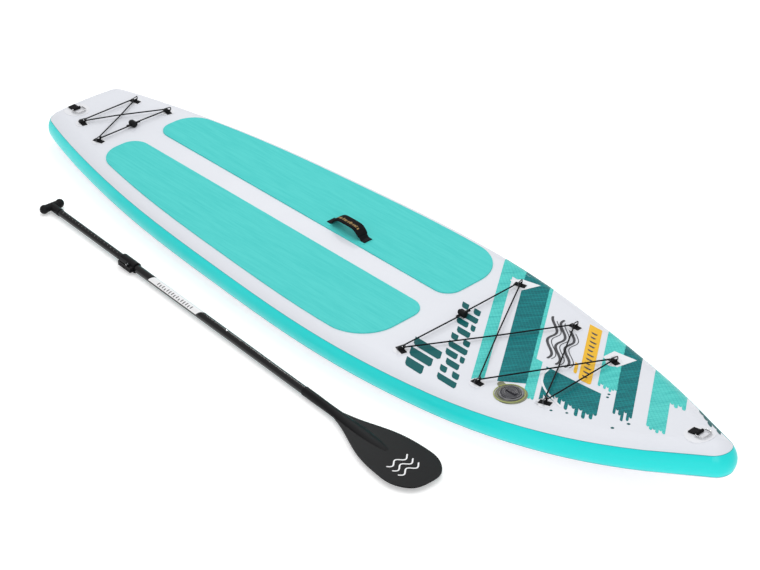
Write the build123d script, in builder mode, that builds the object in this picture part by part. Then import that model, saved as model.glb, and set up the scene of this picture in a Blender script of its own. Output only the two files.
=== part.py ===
from build123d import *
from math import asin, atan2, cos, degrees, radians, sin, sqrt, tan
import os

# Inflatable stand up paddleboard with its three-piece adjustable paddle beside it.
# Frame: +X towards the nose, +Y to port, +Z up; the origin is the middle of the hull's flat bottom.

# ---- driving dimensions, mm ----
LENGTH = 3200.0          # hull, tail to nose
WIDTH = 813.0            # hull, at its widest
THICK = 124.0            # hull, deck to bottom
SKIN = 1.4               # laminate wall
NOSE_RADIUS = 62.0       # nose tip in plan
TAIL_CORNER = 66.0       # tail corners in plan
TAIL_CROWN = 12.0        # how far the tail edge bows out
RAIL_FLAT = 4.0          # upright strip left between the two rail roundings
ROCKER_START = 660.0     # where the nose begins to rise
ROCKER_RADIUS = 4445.0   # bottom radius of the nose rise
DECK_BAND = 27.0         # how far the deck laminate wraps down the rail
BOTTOM_BAND = 22.0       # how far the bottom laminate wraps up the rail
THREAD_RADIUS = 2.0      # drop-stitch bundles
THREAD_PITCH_X = 200.0
THREAD_PITCH_Y = 170.0

PAD_THICK = 4.5          # EVA deck pads
PAD_REAR = -1188.0
PAD_FRONT = 352.0
PAD_GAP = 93.0           # bare strip between the pads
PAD_MARGIN = 52.0        # hull edge to pad edge
PAD_FRONT_CORNER = 150.0
PAD_REAR_CORNER = 105.0
PAD_INNER_CORNER = 62.0
PATCH_THICK = 1.2        # glued patches

HANDLE_X = -172.0
HANDLE_Y = 88.0
HANDLE_LENGTH = 184.0
HANDLE_WIDTH = 38.0
HANDLE_RISE = 37.0
HANDLE_FOOT = 16.0
HANDLE_LEG = 26.0
WEBBING = 2.6
SLEEVE_WALL = 4.0

RING_WIRE = 2.5          # radius of the towing rings' wire
RING_SPAN = 46.0
RING_REACH = 34.0
RING_PATCH = 98.0
NOSE_RING_X = 1466.0
TAIL_RING_X = -1512.0
TAIL_RING_Y = -78.0

VALVE_X = 879.0
VALVE_Y = -201.0
VALVE_FLANGE = 104.0     # outer diameters
VALVE_CAP = 68.0
VALVE_BARREL = 46.0
VALVE_PORT = 31.0
VALVE_DEPTH = 34.0
PLUNGER_TRAVEL = 5.0

FIN_BASE_LENGTH = 212.0
FIN_BASE_WIDTH = 36.0
FIN_BASE_HEIGHT = 8.0
FIN_SLOT = 9.6
FIN_X = -1250.0

CORD = 2.5               # bungee radius
ANCHOR_WIRE = 2.0
ANCHOR_PATCH = 54.0
TAB_THICK = 1.8          # anchor webbing tab
TAB_LENGTH = 42.0
TAB_WIDTH = 20.0
LIMB = 14.0              # anchor ring: middle of its bar to its upright limbs
REAR_ANCHORS = ((-1414.0, 125.0), (-1266.0, 164.0))
FRONT_ANCHORS = ((465.0, 279.0), (759.0, 229.0), (987.0, 162.0))

PADDLE_Y = -535.0        # paddle axis where it passes the middle of the board
PADDLE_TURN = -3.4       # degrees from the board's axis
SHAFT_RADIUS = 14.5
SHAFT_WALL = 1.5
UPPER_RADIUS = 12.9
UPPER_WALL = 1.4
COLLAR_RADIUS = 19.5
GRIP_WIDTH = 100.0
GRIP_RADIUS = 14.5       # of the cross bar
GRIP_END = 17.0          # of its rounded ends
BLADE_WIDTH = 200.0
BLADE_THICK = 5.0
S_GRIP = -1165.0         # stations along the paddle
S_UPPER_END = -570.0
S_COLLAR = -712.0
S_COLLAR_END = -632.0
SCREW = 1.6
S_JOINT = -180.0
S_SOCKET = 345.0
S_BLADE = 462.0
S_TIP = 915.0
FERRULE = 60.0

FIT = 0.05               # sliding fits, on radius
GAP = 0.3                # between pieces that only lie side by side
TAB_TOP = 2 * (ANCHOR_WIRE + GAP + TAB_THICK)
CORD_LIFT = TAB_TOP + CORD + 2 * GAP
LIMB_TOP = CORD_LIFT + CORD + ANCHOR_WIRE + 3 * GAP
HALF = LENGTH / 2
RAIL = THICK / 2 - RAIL_FLAT / 2
PAD_TOP = THICK + PAD_THICK
PADDLE_Z = COLLAR_RADIUS - FIN_BASE_HEIGHT + GAP

# the plan: (share of the length from the tail, share of the half width)
PLAN = ((0.105, 0.645), (0.234, 0.827), (0.395, 0.945), (0.557, 1.0), (0.686, 0.923),
        (0.815, 0.704), (0.912, 0.430))
TAIL_SHARE = 0.423
NOSE_SLOPE = 25.0        # degrees of the plan's edge where the nose arc begins

os.makedirs("parts", exist_ok=True)


def keep(piece, name):
    """Label one finished piece and write it."""
    piece.label = name
    export_step(piece, "parts/" + name + ".step")


# ---- the hull's form ----
def full_outline():
    """The hull seen from above."""
    half_width = WIDTH / 2
    corner = (-HALF + TAIL_CROWN, half_width * TAIL_SHARE)
    turn = radians(NOSE_SLOPE)
    shoulder = (HALF - NOSE_RADIUS + NOSE_RADIUS * sin(turn), NOSE_RADIUS * cos(turn))
    flank_points = [(-HALF + LENGTH * u, half_width * v) for u, v in PLAN]
    with BuildSketch() as outline:
        with BuildLine():
            ThreePointArc(corner, (-HALF, 0), (corner[0], -corner[1]))
            flank = Spline(corner, *flank_points, shoulder, tangents=((1, 0.36), (1, -tan(turn))))
            mirror(flank, Plane.XZ)
            ThreePointArc(shoulder, (HALF, 0), (shoulder[0], -shoulder[1]))
        make_face()
        fillet(outline.vertices().group_by(Axis.X)[0], TAIL_CORNER)
    return outline.sketch


def plan_outline(inset, level=0.0):
    """The hull's outline with each of its edges moved inwards by inset, at a height level."""
    with BuildSketch(Plane.XY.offset(level)) as outline:
        with BuildLine():
            for edge in full_outline().edges():
                steps = 2 if edge.geom_type == GeomType.CIRCLE else 16
                points = []
                for i in range(steps + 1):
                    spot = edge @ (i / steps)
                    along = edge % (i / steps)
                    aside = Vector(-along.Y, along.X)
                    inwards = aside if aside.dot(spot) < 0 else -aside
                    points.append(spot + inwards * inset)
                if steps == 2:
                    ThreePointArc(*points)
                else:
                    Spline(*points, tangents=(edge % 0, edge % 1))
        make_face()
    return outline.sketch


def side_profile(low, high):
    """The band between two heights above the bottom, following the nose rise."""
    back = -HALF - 100
    centre = (ROCKER_START, ROCKER_RADIUS)
    sweep_angle = degrees((HALF + 200 - ROCKER_START) / ROCKER_RADIUS)
    with BuildSketch(Plane.XZ.offset(-WIDTH)) as profile:
        with BuildLine():
            under = CenterArc(centre, ROCKER_RADIUS - low, -90, sweep_angle)
            over = CenterArc(centre, ROCKER_RADIUS - high, -90, sweep_angle)
            Line(under @ 1, over @ 1)
            Line(over @ 0, (back, high))
            Line((back, high), (back, low))
            Line((back, low), under @ 0)
        make_face()
    return profile.sketch


def zone(low, high):
    """Everything between two heights above the bottom."""
    with BuildPart() as slab:
        add(side_profile(low, high))
        extrude(amount=WIDTH * 2, dir=(0, -1, 0))
    return slab.part


def hull_form(inset):
    """The hull as one solid, drawn in by inset on every side."""
    with BuildPart() as form:
        add(plan_outline(inset, -THICK))
        extrude(amount=THICK * 5)
        add(zone(inset, THICK - inset), mode=Mode.INTERSECT)
        rim = form.edges().filter_by(lambda edge: abs(edge.tangent_at(0.5).Z) < 0.6)
        fillet(rim, RAIL - inset)
    return form.part


def deck_plane(x, y, lift=0.0, turn=0.0):
    """A plane on the deck: local Z is the deck's normal, local X is turned from the nose."""
    reach = ROCKER_RADIUS - THICK
    tilt = asin(max(x - ROCKER_START, 0.0) / reach)
    radius = reach - lift
    normal = Vector(-sin(tilt), 0, cos(tilt))
    along = Vector(cos(tilt), 0, sin(tilt))
    base_x = min(x, ROCKER_START)
    origin = Vector(base_x + radius * sin(tilt), y, ROCKER_RADIUS - radius * cos(tilt))
    heading = along * cos(radians(turn)) + Vector(0, 1, 0) * sin(radians(turn))
    return Plane(origin=origin, x_dir=heading, z_dir=normal)


HULL = hull_form(0.0)
CAVITY = hull_form(SKIN)
PAD_FORM = hull_form(-PAD_THICK)
PATCH_FORM = hull_form(-PATCH_THICK)


def on_deck(form, sketch):
    """What a prism on a sketch shares with a grown form of the hull, less the hull itself."""
    with BuildPart() as layer:
        with BuildSketch(Plane.XY.offset(THICK / 2)):
            add(sketch)
        extrude(amount=THICK * 3)
        add(zone(THICK / 2, THICK * 2), mode=Mode.INTERSECT)
        add(HULL, mode=Mode.SUBTRACT)
        add(form, mode=Mode.INTERSECT)
    return layer.part


def glued_discs(spots, diameter):
    """Round patches that follow the deck."""
    pieces = []
    for spot in spots:
        with BuildSketch() as disc:
            with Locations(spot):
                Circle(diameter / 2)
        pieces.append(on_deck(PATCH_FORM, disc.sketch))
    with BuildPart() as patches:
        for piece in pieces:
            add(piece)
    return patches.part


# ---- hull skins ----
def build_hull():
    middle = THICK - DECK_BAND
    with BuildPart() as deck_skin:
        add(HULL)
        add(zone(middle, THICK * 2), mode=Mode.INTERSECT)
        add(CAVITY, mode=Mode.SUBTRACT)
        with BuildSketch(deck_plane(VALVE_X, VALVE_Y, -SKIN * 4)):
            Circle(VALVE_BARREL / 2 + FIT)
        extrude(amount=SKIN * 8, mode=Mode.SUBTRACT)
    keep(deck_skin.part, "deck_skin")
    with BuildPart() as bottom_skin:
        add(HULL)
        add(zone(-THICK, BOTTOM_BAND), mode=Mode.INTERSECT)
        add(CAVITY, mode=Mode.SUBTRACT)
    keep(bottom_skin.part, "bottom_skin")
    for side, name in ((1, "rail_port"), (-1, "rail_starboard")):
        with BuildPart() as rail:
            with Locations((0, side * WIDTH, THICK)):
                Box(LENGTH * 2, WIDTH * 2, THICK * 4)
            add(HULL, mode=Mode.INTERSECT)
            add(zone(BOTTOM_BAND, middle), mode=Mode.INTERSECT)
            add(CAVITY, mode=Mode.SUBTRACT)
        keep(rail.part, name)


def build_threads():
    inner = LENGTH - 420
    across = WIDTH - 240
    count_x = int(inner / THREAD_PITCH_X) + 1
    count_y = int(across / THREAD_PITCH_Y) + 1
    with BuildPart() as threads:
        with BuildSketch():
            with Locations((-90, 0)):
                with GridLocations(THREAD_PITCH_X, THREAD_PITCH_Y, count_x, count_y):
                    Circle(THREAD_RADIUS)
        extrude(amount=THICK * 3)
        add(CAVITY, mode=Mode.INTERSECT)
    keep(threads.part, "drop_stitch_threads")


# ---- deck pads and carrying handle ----
def build_pads():
    inner = PAD_GAP / 2
    for side, name in ((1, "deck_pad_port"), (-1, "deck_pad_starboard")):
        with BuildSketch() as shape:
            add(plan_outline(PAD_MARGIN))
            centre_x = (PAD_REAR + PAD_FRONT) / 2
            with Locations((centre_x, side * (inner + WIDTH / 2))):
                Rectangle(PAD_FRONT - PAD_REAR, WIDTH, mode=Mode.INTERSECT)
            inner_corners = shape.vertices().group_by(Axis.Y)[0 if side > 0 else -1]
            outer = [v for v in shape.vertices() if v not in inner_corners]
            fillet(max(outer, key=lambda v: v.X), PAD_FRONT_CORNER)
            rear_end = shape.vertices().group_by(Axis.X)[0]
            fillet(max(rear_end, key=lambda v: abs(v.Y)), PAD_REAR_CORNER)
            inner_corners = shape.vertices().group_by(Axis.Y)[0 if side > 0 else -1]
            fillet(inner_corners, PAD_INNER_CORNER)
        keep(on_deck(PAD_FORM, shape.sketch), name)


def handle_path(half, foot, rise):
    """The handle's middle line: feet on the pad, legs, and a level run between."""
    shoulder = half - foot - HANDLE_LEG
    return FilletPolyline((-half, 0), (-half + foot, 0), (-shoulder, rise), (shoulder, rise),
                          (half - foot, 0), (half, 0), radius=(10, 26, 26, 10))


def build_handle():
    foot_level = PAD_TOP + PATCH_THICK + WEBBING / 2
    half = HANDLE_LENGTH / 2
    rise = HANDLE_RISE - WEBBING
    frame = Plane(origin=(HANDLE_X, HANDLE_Y, foot_level), x_dir=(1, 0, 0), z_dir=(0, -1, 0))
    with BuildPart() as handle_webbing:
        with BuildSketch(frame):
            with BuildLine():
                route = handle_path(half, HANDLE_FOOT, rise)
            trace(route, WEBBING)
        extrude(amount=HANDLE_WIDTH / 2, both=True)
    keep(handle_webbing.part, "handle_webbing")
    clear = HANDLE_FOOT + 14
    with BuildPart() as handle_sleeve:
        with BuildSketch(frame):
            with BuildLine():
                sleeve_route = handle_path(half, HANDLE_FOOT, rise)
            trace(sleeve_route, WEBBING + 2 * SLEEVE_WALL)
            with Locations((0, rise)):
                Rectangle(2 * (half - clear), 2 * (rise - 12), mode=Mode.INTERSECT)
        extrude(amount=HANDLE_WIDTH / 2 + SLEEVE_WALL, both=True)
        fillet(handle_sleeve.edges().filter_by(Axis.X), 3)
        add(handle_webbing.part, mode=Mode.SUBTRACT)
    keep(handle_sleeve.part, "handle_sleeve")
    with BuildPart() as handle_patches:
        with BuildSketch(Plane.XY.offset(PAD_TOP)):
            foot_middle = half - HANDLE_FOOT / 2
            with Locations((HANDLE_X - foot_middle, HANDLE_Y), (HANDLE_X + foot_middle, HANDLE_Y)):
                RectangleRounded(HANDLE_FOOT + 16, HANDLE_WIDTH + 20, 8)
        extrude(amount=PATCH_THICK)
    keep(handle_patches.part, "handle_patches")


# ---- towing rings ----
def strap_over_bar(frame, bar, width, tail):
    """Webbing wrapped over a bar of radius bar, lying along local Y, with a tail to local -X."""
    hole = bar + GAP
    outer = hole + WEBBING
    level = outer
    side = Plane(origin=frame.origin, x_dir=frame.x_dir, z_dir=-frame.y_dir)
    with BuildPart() as strap:
        with BuildSketch(side):
            with Locations((0, level)):
                Circle(outer)
            with Locations((-tail / 2, WEBBING)):
                Rectangle(tail, 2 * WEBBING)
            with Locations((0, level)):
                Circle(hole, mode=Mode.SUBTRACT)
        extrude(amount=width / 2, both=True)
    return strap.part


def towing_ring(frame, bar, span, reach):
    """A D-shaped ring lying flat: its straight bar on local Y, its bow to local +X."""
    level = bar + GAP + WEBBING
    flat = Plane(origin=frame.from_local_coords((0, 0, level)), x_dir=frame.x_dir, z_dir=frame.z_dir)
    with BuildPart() as ring:
        with BuildLine(flat):
            path = FilletPolyline((0, -span / 2), (0, span / 2), (reach, span / 2), (reach, -span / 2),
                                  radius=(6, 6, 16, 16), close=True)
        with BuildSketch(Plane(origin=path @ 0, z_dir=path % 0)):
            Circle(bar)
        sweep()
    return ring.part


def build_towing_rings():
    for name, x, y in (("nose", NOSE_RING_X, 0.0), ("tail", TAIL_RING_X, TAIL_RING_Y)):
        keep(glued_discs([(x, y)], RING_PATCH), name + "_ring_patch")
        frame = deck_plane(x, y, PATCH_THICK + GAP)
        with BuildPart() as strap:
            add(strap_over_bar(frame, RING_WIRE, RING_SPAN - 16, 34))
        keep(strap.part, name + "_ring_strap")
        with BuildPart() as ring:
            add(towing_ring(frame, RING_WIRE, RING_SPAN, RING_REACH))
        keep(ring.part, name + "_ring")


# ---- valve ----
def build_valve():
    seat = deck_plane(VALVE_X, VALVE_Y)
    port = VALVE_PORT / 2
    barrel = VALVE_BARREL / 2
    cap = VALVE_CAP / 2
    with BuildPart() as flange:
        with BuildSketch(seat.offset(-SKIN)):
            Circle(VALVE_FLANGE / 2)
            with Locations(Pos(-54, 18) * Rot(0, 0, -18)):
                RectangleRounded(44, 24, 11)
        extrude(amount=SKIN + 3)
        add(HULL, mode=Mode.SUBTRACT)
        with BuildSketch(seat.offset(-SKIN)):
            Circle(barrel + GAP)
        extrude(amount=SKIN + 3, mode=Mode.SUBTRACT)
    keep(flange.part, "valve_flange")
    with BuildPart() as housing:
        with BuildSketch(seat.offset(-VALVE_DEPTH)):
            Circle(barrel)
        extrude(amount=VALVE_DEPTH + 3)
        with BuildSketch(seat.offset(3)):
            Circle(cap + 5)
        extrude(amount=5)
        with BuildSketch(seat.offset(-VALVE_DEPTH)):
            Circle(port)
        extrude(amount=VALVE_DEPTH + 8, mode=Mode.SUBTRACT)
        with BuildSketch(seat.offset(5)):
            Circle(cap + GAP)
        extrude(amount=3, mode=Mode.SUBTRACT)
        with BuildSketch(seat.offset(-VALVE_DEPTH)):
            Circle(port)
            Circle(3.2 + GAP, mode=Mode.SUBTRACT)
            Rectangle(6, VALVE_PORT + 2, mode=Mode.SUBTRACT)
        extrude(amount=3)
    keep(housing.part, "valve_housing")
    with BuildPart() as nut:
        with BuildSketch(seat.offset(-SKIN - 6)):
            Circle(barrel + 9)
            Circle(barrel + GAP, mode=Mode.SUBTRACT)
        extrude(amount=6 - GAP)
    keep(nut.part, "valve_nut")
    low = 3 + GAP - VALVE_DEPTH
    with BuildPart() as plunger:
        with BuildSketch(seat.offset(low + PLUNGER_TRAVEL)):
            Circle(port - 2)
        extrude(amount=2.5)
        with BuildSketch(seat.offset(low + PLUNGER_TRAVEL)):
            Circle(3.2)
        extrude(amount=18)
        with BuildSketch(seat.offset(low + PLUNGER_TRAVEL - 8)):
            Circle(3.2)
        extrude(amount=8)
    keep(plunger.part, "valve_plunger")
    with BuildPart() as cap_part:
        with BuildSketch(seat.offset(5 + GAP)):
            Circle(cap)
        extrude(amount=5)
        with BuildSketch(seat.offset(5 + GAP - 8)):
            Circle(port - FIT * 4)
            Circle(port - 3, mode=Mode.SUBTRACT)
        extrude(amount=8)
        with BuildSketch(seat.offset(10 + GAP)):
            RectangleRounded(44, 9, 4)
        extrude(amount=5)
        fillet(cap_part.faces().sort_by(Axis.Z)[-1].edges(), 1.2)
    keep(cap_part.part, "valve_cap")


# ---- fin base ----
def build_fin_base():
    with BuildPart() as fin_base:
        with BuildSketch(Plane.XY.offset(-FIN_BASE_HEIGHT)):
            with Locations((FIN_X, 0)):
                RectangleRounded(FIN_BASE_LENGTH, FIN_BASE_WIDTH, 12)
        extrude(amount=FIN_BASE_HEIGHT)
        with BuildSketch(Plane.XY.offset(-FIN_BASE_HEIGHT)):
            with Locations((FIN_X - 10, 0)):
                Rectangle(FIN_BASE_LENGTH, FIN_SLOT)
        extrude(amount=FIN_BASE_HEIGHT - 1.5, mode=Mode.SUBTRACT)
        with BuildSketch(Plane.XY.offset(-FIN_BASE_HEIGHT / 2 - 0.5)):
            with Locations((FIN_X - 10, 0)):
                Rectangle(FIN_BASE_LENGTH, FIN_SLOT + 8)
        extrude(amount=3, mode=Mode.SUBTRACT)
    keep(fin_base.part, "fin_base")


# ---- bungee ----
def pull_direction(here, before, after):
    """The angle, in degrees, in which two runs of cord pull on an anchor."""
    total = Vector(0, 0)
    for other in (before, after):
        total = total + Vector(other[0] - here[0], other[1] - here[1]).normalized()
    return degrees(atan2(total.Y, total.X))


def anchor_frame(here, angle):
    return deck_plane(here[0], here[1], PATCH_THICK + GAP, angle)


def build_anchor(name, here, angle):
    """A webbing strap and an upright ring that the cord runs through."""
    frame = anchor_frame(here, angle)
    bar = ANCHOR_WIRE
    hole = bar + GAP
    outer = hole + TAB_THICK
    cross = Plane(origin=frame.origin, x_dir=frame.y_dir, z_dir=frame.x_dir)
    with BuildPart() as strap:
        with BuildSketch(cross):
            with Locations((0, outer)):
                Circle(outer)
            with Locations((0, TAB_THICK / 2)):
                Rectangle(TAB_LENGTH, TAB_THICK)
            with Locations((0, outer)):
                Circle(hole, mode=Mode.SUBTRACT)
        extrude(amount=TAB_WIDTH / 2, both=True)
    keep(strap.part, "anchor_strap_" + name)
    upright = Plane(origin=frame.origin, x_dir=frame.x_dir, z_dir=-frame.y_dir)
    with BuildPart() as ring:
        with BuildLine(upright):
            path = FilletPolyline((-LIMB, outer), (LIMB, outer), (LIMB, LIMB_TOP), (-LIMB, LIMB_TOP),
                                  radius=(3.2, 3.2, 4, 4), close=True)
        with BuildSketch(Plane(origin=path @ 0, z_dir=path % 0)):
            Circle(bar)
        sweep()
    return ring.part


def loop_route(order, stopper_share, crossings):
    """Points and radii of a cord that runs through a stopper and round every anchor in order."""
    touch = ANCHOR_WIRE + CORD + 3 * GAP
    first = Vector(*order[0])
    last = Vector(*order[-1])
    stop = last + (first - last) * stopper_share
    run = (first - last).normalized()
    aside = Vector(-run.Y, run.X)
    points = []
    radii = []
    count = len(order)
    tail = 24.0

    def put(spot, lift, radius):
        plane = deck_plane(spot.X, spot.Y, PATCH_THICK + lift)
        points.append(plane.origin)
        radii.append(radius)

    put(stop - run * tail + aside * 3.2, CORD_LIFT, None)
    for i, here in enumerate(order):
        before = order[i - 1]
        after = order[(i + 1) % count]
        angle = pull_direction(here, before, after)
        pull = Vector(cos(radians(angle)), sin(radians(angle)))
        side = Vector(-pull.Y, pull.X)
        came = (Vector(*before) - Vector(*here)).normalized()
        sign = 1.0 if came.dot(side) > 0 else -1.0
        half_turn = radians(90 - came.get_angle(pull)) / 2
        reach = touch * tan(half_turn) * 1.15
        spot = Vector(*here) + pull * (LIMB - touch)
        put(spot + side * (sign * reach), CORD_LIFT, touch * 0.98)
        put(spot - side * (sign * reach), CORD_LIFT, touch * 0.98)
        for pair, where, lift in crossings:
            if pair == (i, (i + 1) % count):
                put(Vector(*where), CORD_LIFT + lift, 600.0)
    put(stop + run * tail - aside * 3.2, CORD_LIFT, None)
    return points, radii[1:-1], stop, degrees(atan2(run.Y, run.X))


def build_cord(name, points, radii):
    """One length of bungee, and the knots that close its ends."""
    with BuildPart() as cord:
        with BuildLine():
            path = FilletPolyline(*points, radius=radii)
        with BuildSketch(Plane(origin=path @ 0, z_dir=path % 0)):
            Circle(CORD)
        sweep()
    with BuildPart() as knots:
        for end, along in ((path @ 0, path % 0), (path @ 1, -(path % 1))):
            with BuildSketch(Plane(origin=end, z_dir=-along)):
                Circle(CORD + GAP)
            extrude(amount=CORD * 2)
    length = path.length
    print(name, "length", round(length, 1), "radii", [round(r, 1) for r in radii])
    keep(cord.part, name)
    keep(knots.part, name + "_knots")


def build_stopper(name, stop, angle):
    """A barrel cord stopper on the bungee, with its spring button."""
    middle = deck_plane(stop.X, stop.Y, PATCH_THICK + CORD_LIFT, angle)
    radius = CORD_LIFT + PATCH_THICK - GAP
    axis = Plane(origin=middle.origin, x_dir=middle.x_dir, z_dir=middle.y_dir)
    with BuildPart() as barrel:
        with BuildSketch(axis.offset(-11)):
            Circle(radius)
        extrude(amount=24)
        fillet(barrel.edges(), 1.5)
        across = Plane(origin=middle.origin, x_dir=middle.y_dir, z_dir=middle.x_dir)
        with BuildSketch(across):
            SlotOverall(2 * (3.2 + CORD + GAP), 2 * (CORD + GAP))
        extrude(amount=radius * 2, both=True, mode=Mode.SUBTRACT)
        with BuildSketch(axis.offset(13 - 5)):
            Circle(6)
        extrude(amount=6, mode=Mode.SUBTRACT)
    keep(barrel.part, name)
    with BuildPart() as button:
        with BuildSketch(axis.offset(13 - 1)):
            Circle(6 - FIT)
        extrude(amount=5)
        with BuildSketch(axis.offset(13 + 4)):
            Circle(8)
        extrude(amount=2.5)
        outermost = button.faces().sort_by(lambda f: (f.center() - middle.origin).dot(middle.y_dir))[-1]
        fillet(outermost.edges(), 1)
    keep(button.part, name + "_button")


def build_bungees():
    (rear_x, rear_y), (fore_x, fore_y) = REAR_ANCHORS
    near_rear, far_rear = (rear_x, -rear_y), (rear_x, rear_y)
    near_fore, far_fore = (fore_x, -fore_y), (fore_x, fore_y)
    share = rear_y / (rear_y + fore_y)
    cross = (rear_x + (fore_x - rear_x) * share, 0.0)
    rear_order = [far_fore, near_rear, far_rear, near_fore]
    crossings = [((0, 1), cross, 3.0), ((2, 3), cross, -3.0)]
    names = ["rear_port_fore", "rear_starboard_aft", "rear_port_aft", "rear_starboard_fore"]
    groups = [("rear", rear_order, names, crossings, 0.5)]
    (x1, y1), (x2, y2), (x3, y3) = FRONT_ANCHORS
    front_order = [(x1, y1), (x2, -y2), (x3, y3), (x3, -y3), (x2, y2), (x1, -y1)]
    share = y1 / (y1 + y2)
    aft_cross = (x1 + (x2 - x1) * share, 0.0)
    share = y2 / (y2 + y3)
    fore_cross = (x2 + (x3 - x2) * share, 0.0)
    crossings = [((0, 1), aft_cross, 3.0), ((4, 5), aft_cross, -3.0),
                 ((1, 2), fore_cross, 3.0), ((3, 4), fore_cross, -3.0)]
    names = ["front_port_aft", "front_starboard_mid", "front_port_fore", "front_starboard_fore",
             "front_port_mid", "front_starboard_aft"]
    groups.append(("front", front_order, names, crossings, 0.51))
    rings = {}
    for group, order, names, crossings, share in groups:
        with BuildPart() as group_rings:
            for i, here in enumerate(order):
                angle = pull_direction(here, order[i - 1], order[(i + 1) % len(order)])
                add(build_anchor(names[i], here, angle))
        keep(group_rings.part, group + "_anchor_rings")
        keep(glued_discs(order, ANCHOR_PATCH), group + "_anchor_patches")
        points, radii, stop, angle = loop_route(order, share, crossings)
        build_cord(group + "_bungee", points, radii)
        build_stopper(group + "_cord_stopper", stop, angle)


# ---- paddle ----
PADDLE = Plane(origin=(0, PADDLE_Y, PADDLE_Z), z_dir=(0, 0, 1)).rotated((0, 0, PADDLE_TURN))


def station(s):
    """The plane across the paddle at a distance s along it; local X is to port, local Y is up."""
    return Plane(origin=PADDLE.from_local_coords((s, 0, 0)), x_dir=PADDLE.y_dir, z_dir=PADDLE.x_dir)


def tube(start, end, radius, wall):
    with BuildPart() as pipe:
        with BuildSketch(station(start)):
            Circle(radius)
            Circle(radius - wall, mode=Mode.SUBTRACT)
        extrude(amount=end - start)
    return pipe.part


def build_shafts():
    bore = SHAFT_RADIUS - SHAFT_WALL
    with BuildPart() as upper_shaft:
        add(tube(S_GRIP + 20, S_UPPER_END, UPPER_RADIUS, UPPER_WALL))
    keep(upper_shaft.part, "paddle_upper_shaft")
    with BuildPart() as middle_shaft:
        add(tube(S_COLLAR + 8, S_JOINT, SHAFT_RADIUS, SHAFT_WALL))
    keep(middle_shaft.part, "paddle_middle_shaft")
    button_s = S_JOINT + 70
    with BuildPart() as lower_shaft:
        add(tube(S_JOINT + GAP, S_SOCKET, SHAFT_RADIUS, SHAFT_WALL))
        with BuildSketch(Plane(origin=PADDLE.from_local_coords((button_s, 0, 0)), z_dir=(0, 0, 1))):
            Circle(4 + FIT)
        extrude(amount=SHAFT_RADIUS * 2, mode=Mode.SUBTRACT)
    keep(lower_shaft.part, "paddle_lower_shaft")
    with BuildPart() as ferrule:
        add(tube(S_JOINT - FERRULE, S_JOINT + 95, bore, 1.8))
        with BuildSketch(Plane(origin=PADDLE.from_local_coords((button_s, 0, 0)), z_dir=(0, 0, 1))):
            Circle(4 + FIT)
        extrude(amount=SHAFT_RADIUS * 2, mode=Mode.SUBTRACT)
    keep(ferrule.part, "paddle_ferrule")
    with BuildPart() as button:
        with BuildSketch(Plane(origin=PADDLE.from_local_coords((button_s, 0, 5)), z_dir=(0, 0, 1))):
            Circle(4)
        extrude(amount=SHAFT_RADIUS + 2.2 - 5)
        with BuildSketch(Plane(origin=PADDLE.from_local_coords((button_s, 0, 3.5)), z_dir=(0, 0, 1))):
            Circle(5.2)
        extrude(amount=2.2)
        fillet(button.faces().sort_by(Axis.Z)[-1].edges(), 1.5)
    keep(button.part, "paddle_spring_button")
    with BuildPart() as grip_plug:
        with BuildSketch(station(S_UPPER_END + GAP)):
            Circle(UPPER_RADIUS)
        extrude(amount=6)
        with BuildSketch(station(S_UPPER_END - 14)):
            Circle(UPPER_RADIUS - UPPER_WALL)
        extrude(amount=14 + GAP)
    keep(grip_plug.part, "paddle_upper_plug")


def build_grip():
    """A T grip: a thick cross bar that swells at its ends, on a neck over the shaft."""
    half = GRIP_WIDTH / 2
    cross_bar = Plane(origin=PADDLE.from_local_coords((S_GRIP, 0, 0)), z_dir=PADDLE.y_dir)
    with BuildPart() as grip:
        with BuildSketch(cross_bar):
            Circle(GRIP_RADIUS)
        extrude(amount=half - GRIP_END, both=True)
        for side in (-1, 1):
            with Locations(PADDLE.from_local_coords((S_GRIP, side * (half - GRIP_END), 0))):
                Sphere(GRIP_END)
        with BuildSketch(station(S_GRIP)):
            Circle(UPPER_RADIUS + 1.8)
        extrude(amount=58)
        with BuildSketch(station(S_GRIP + 20)):
            Circle(UPPER_RADIUS)
        extrude(amount=60, mode=Mode.SUBTRACT)
    keep(grip.part, "paddle_grip")


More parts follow.
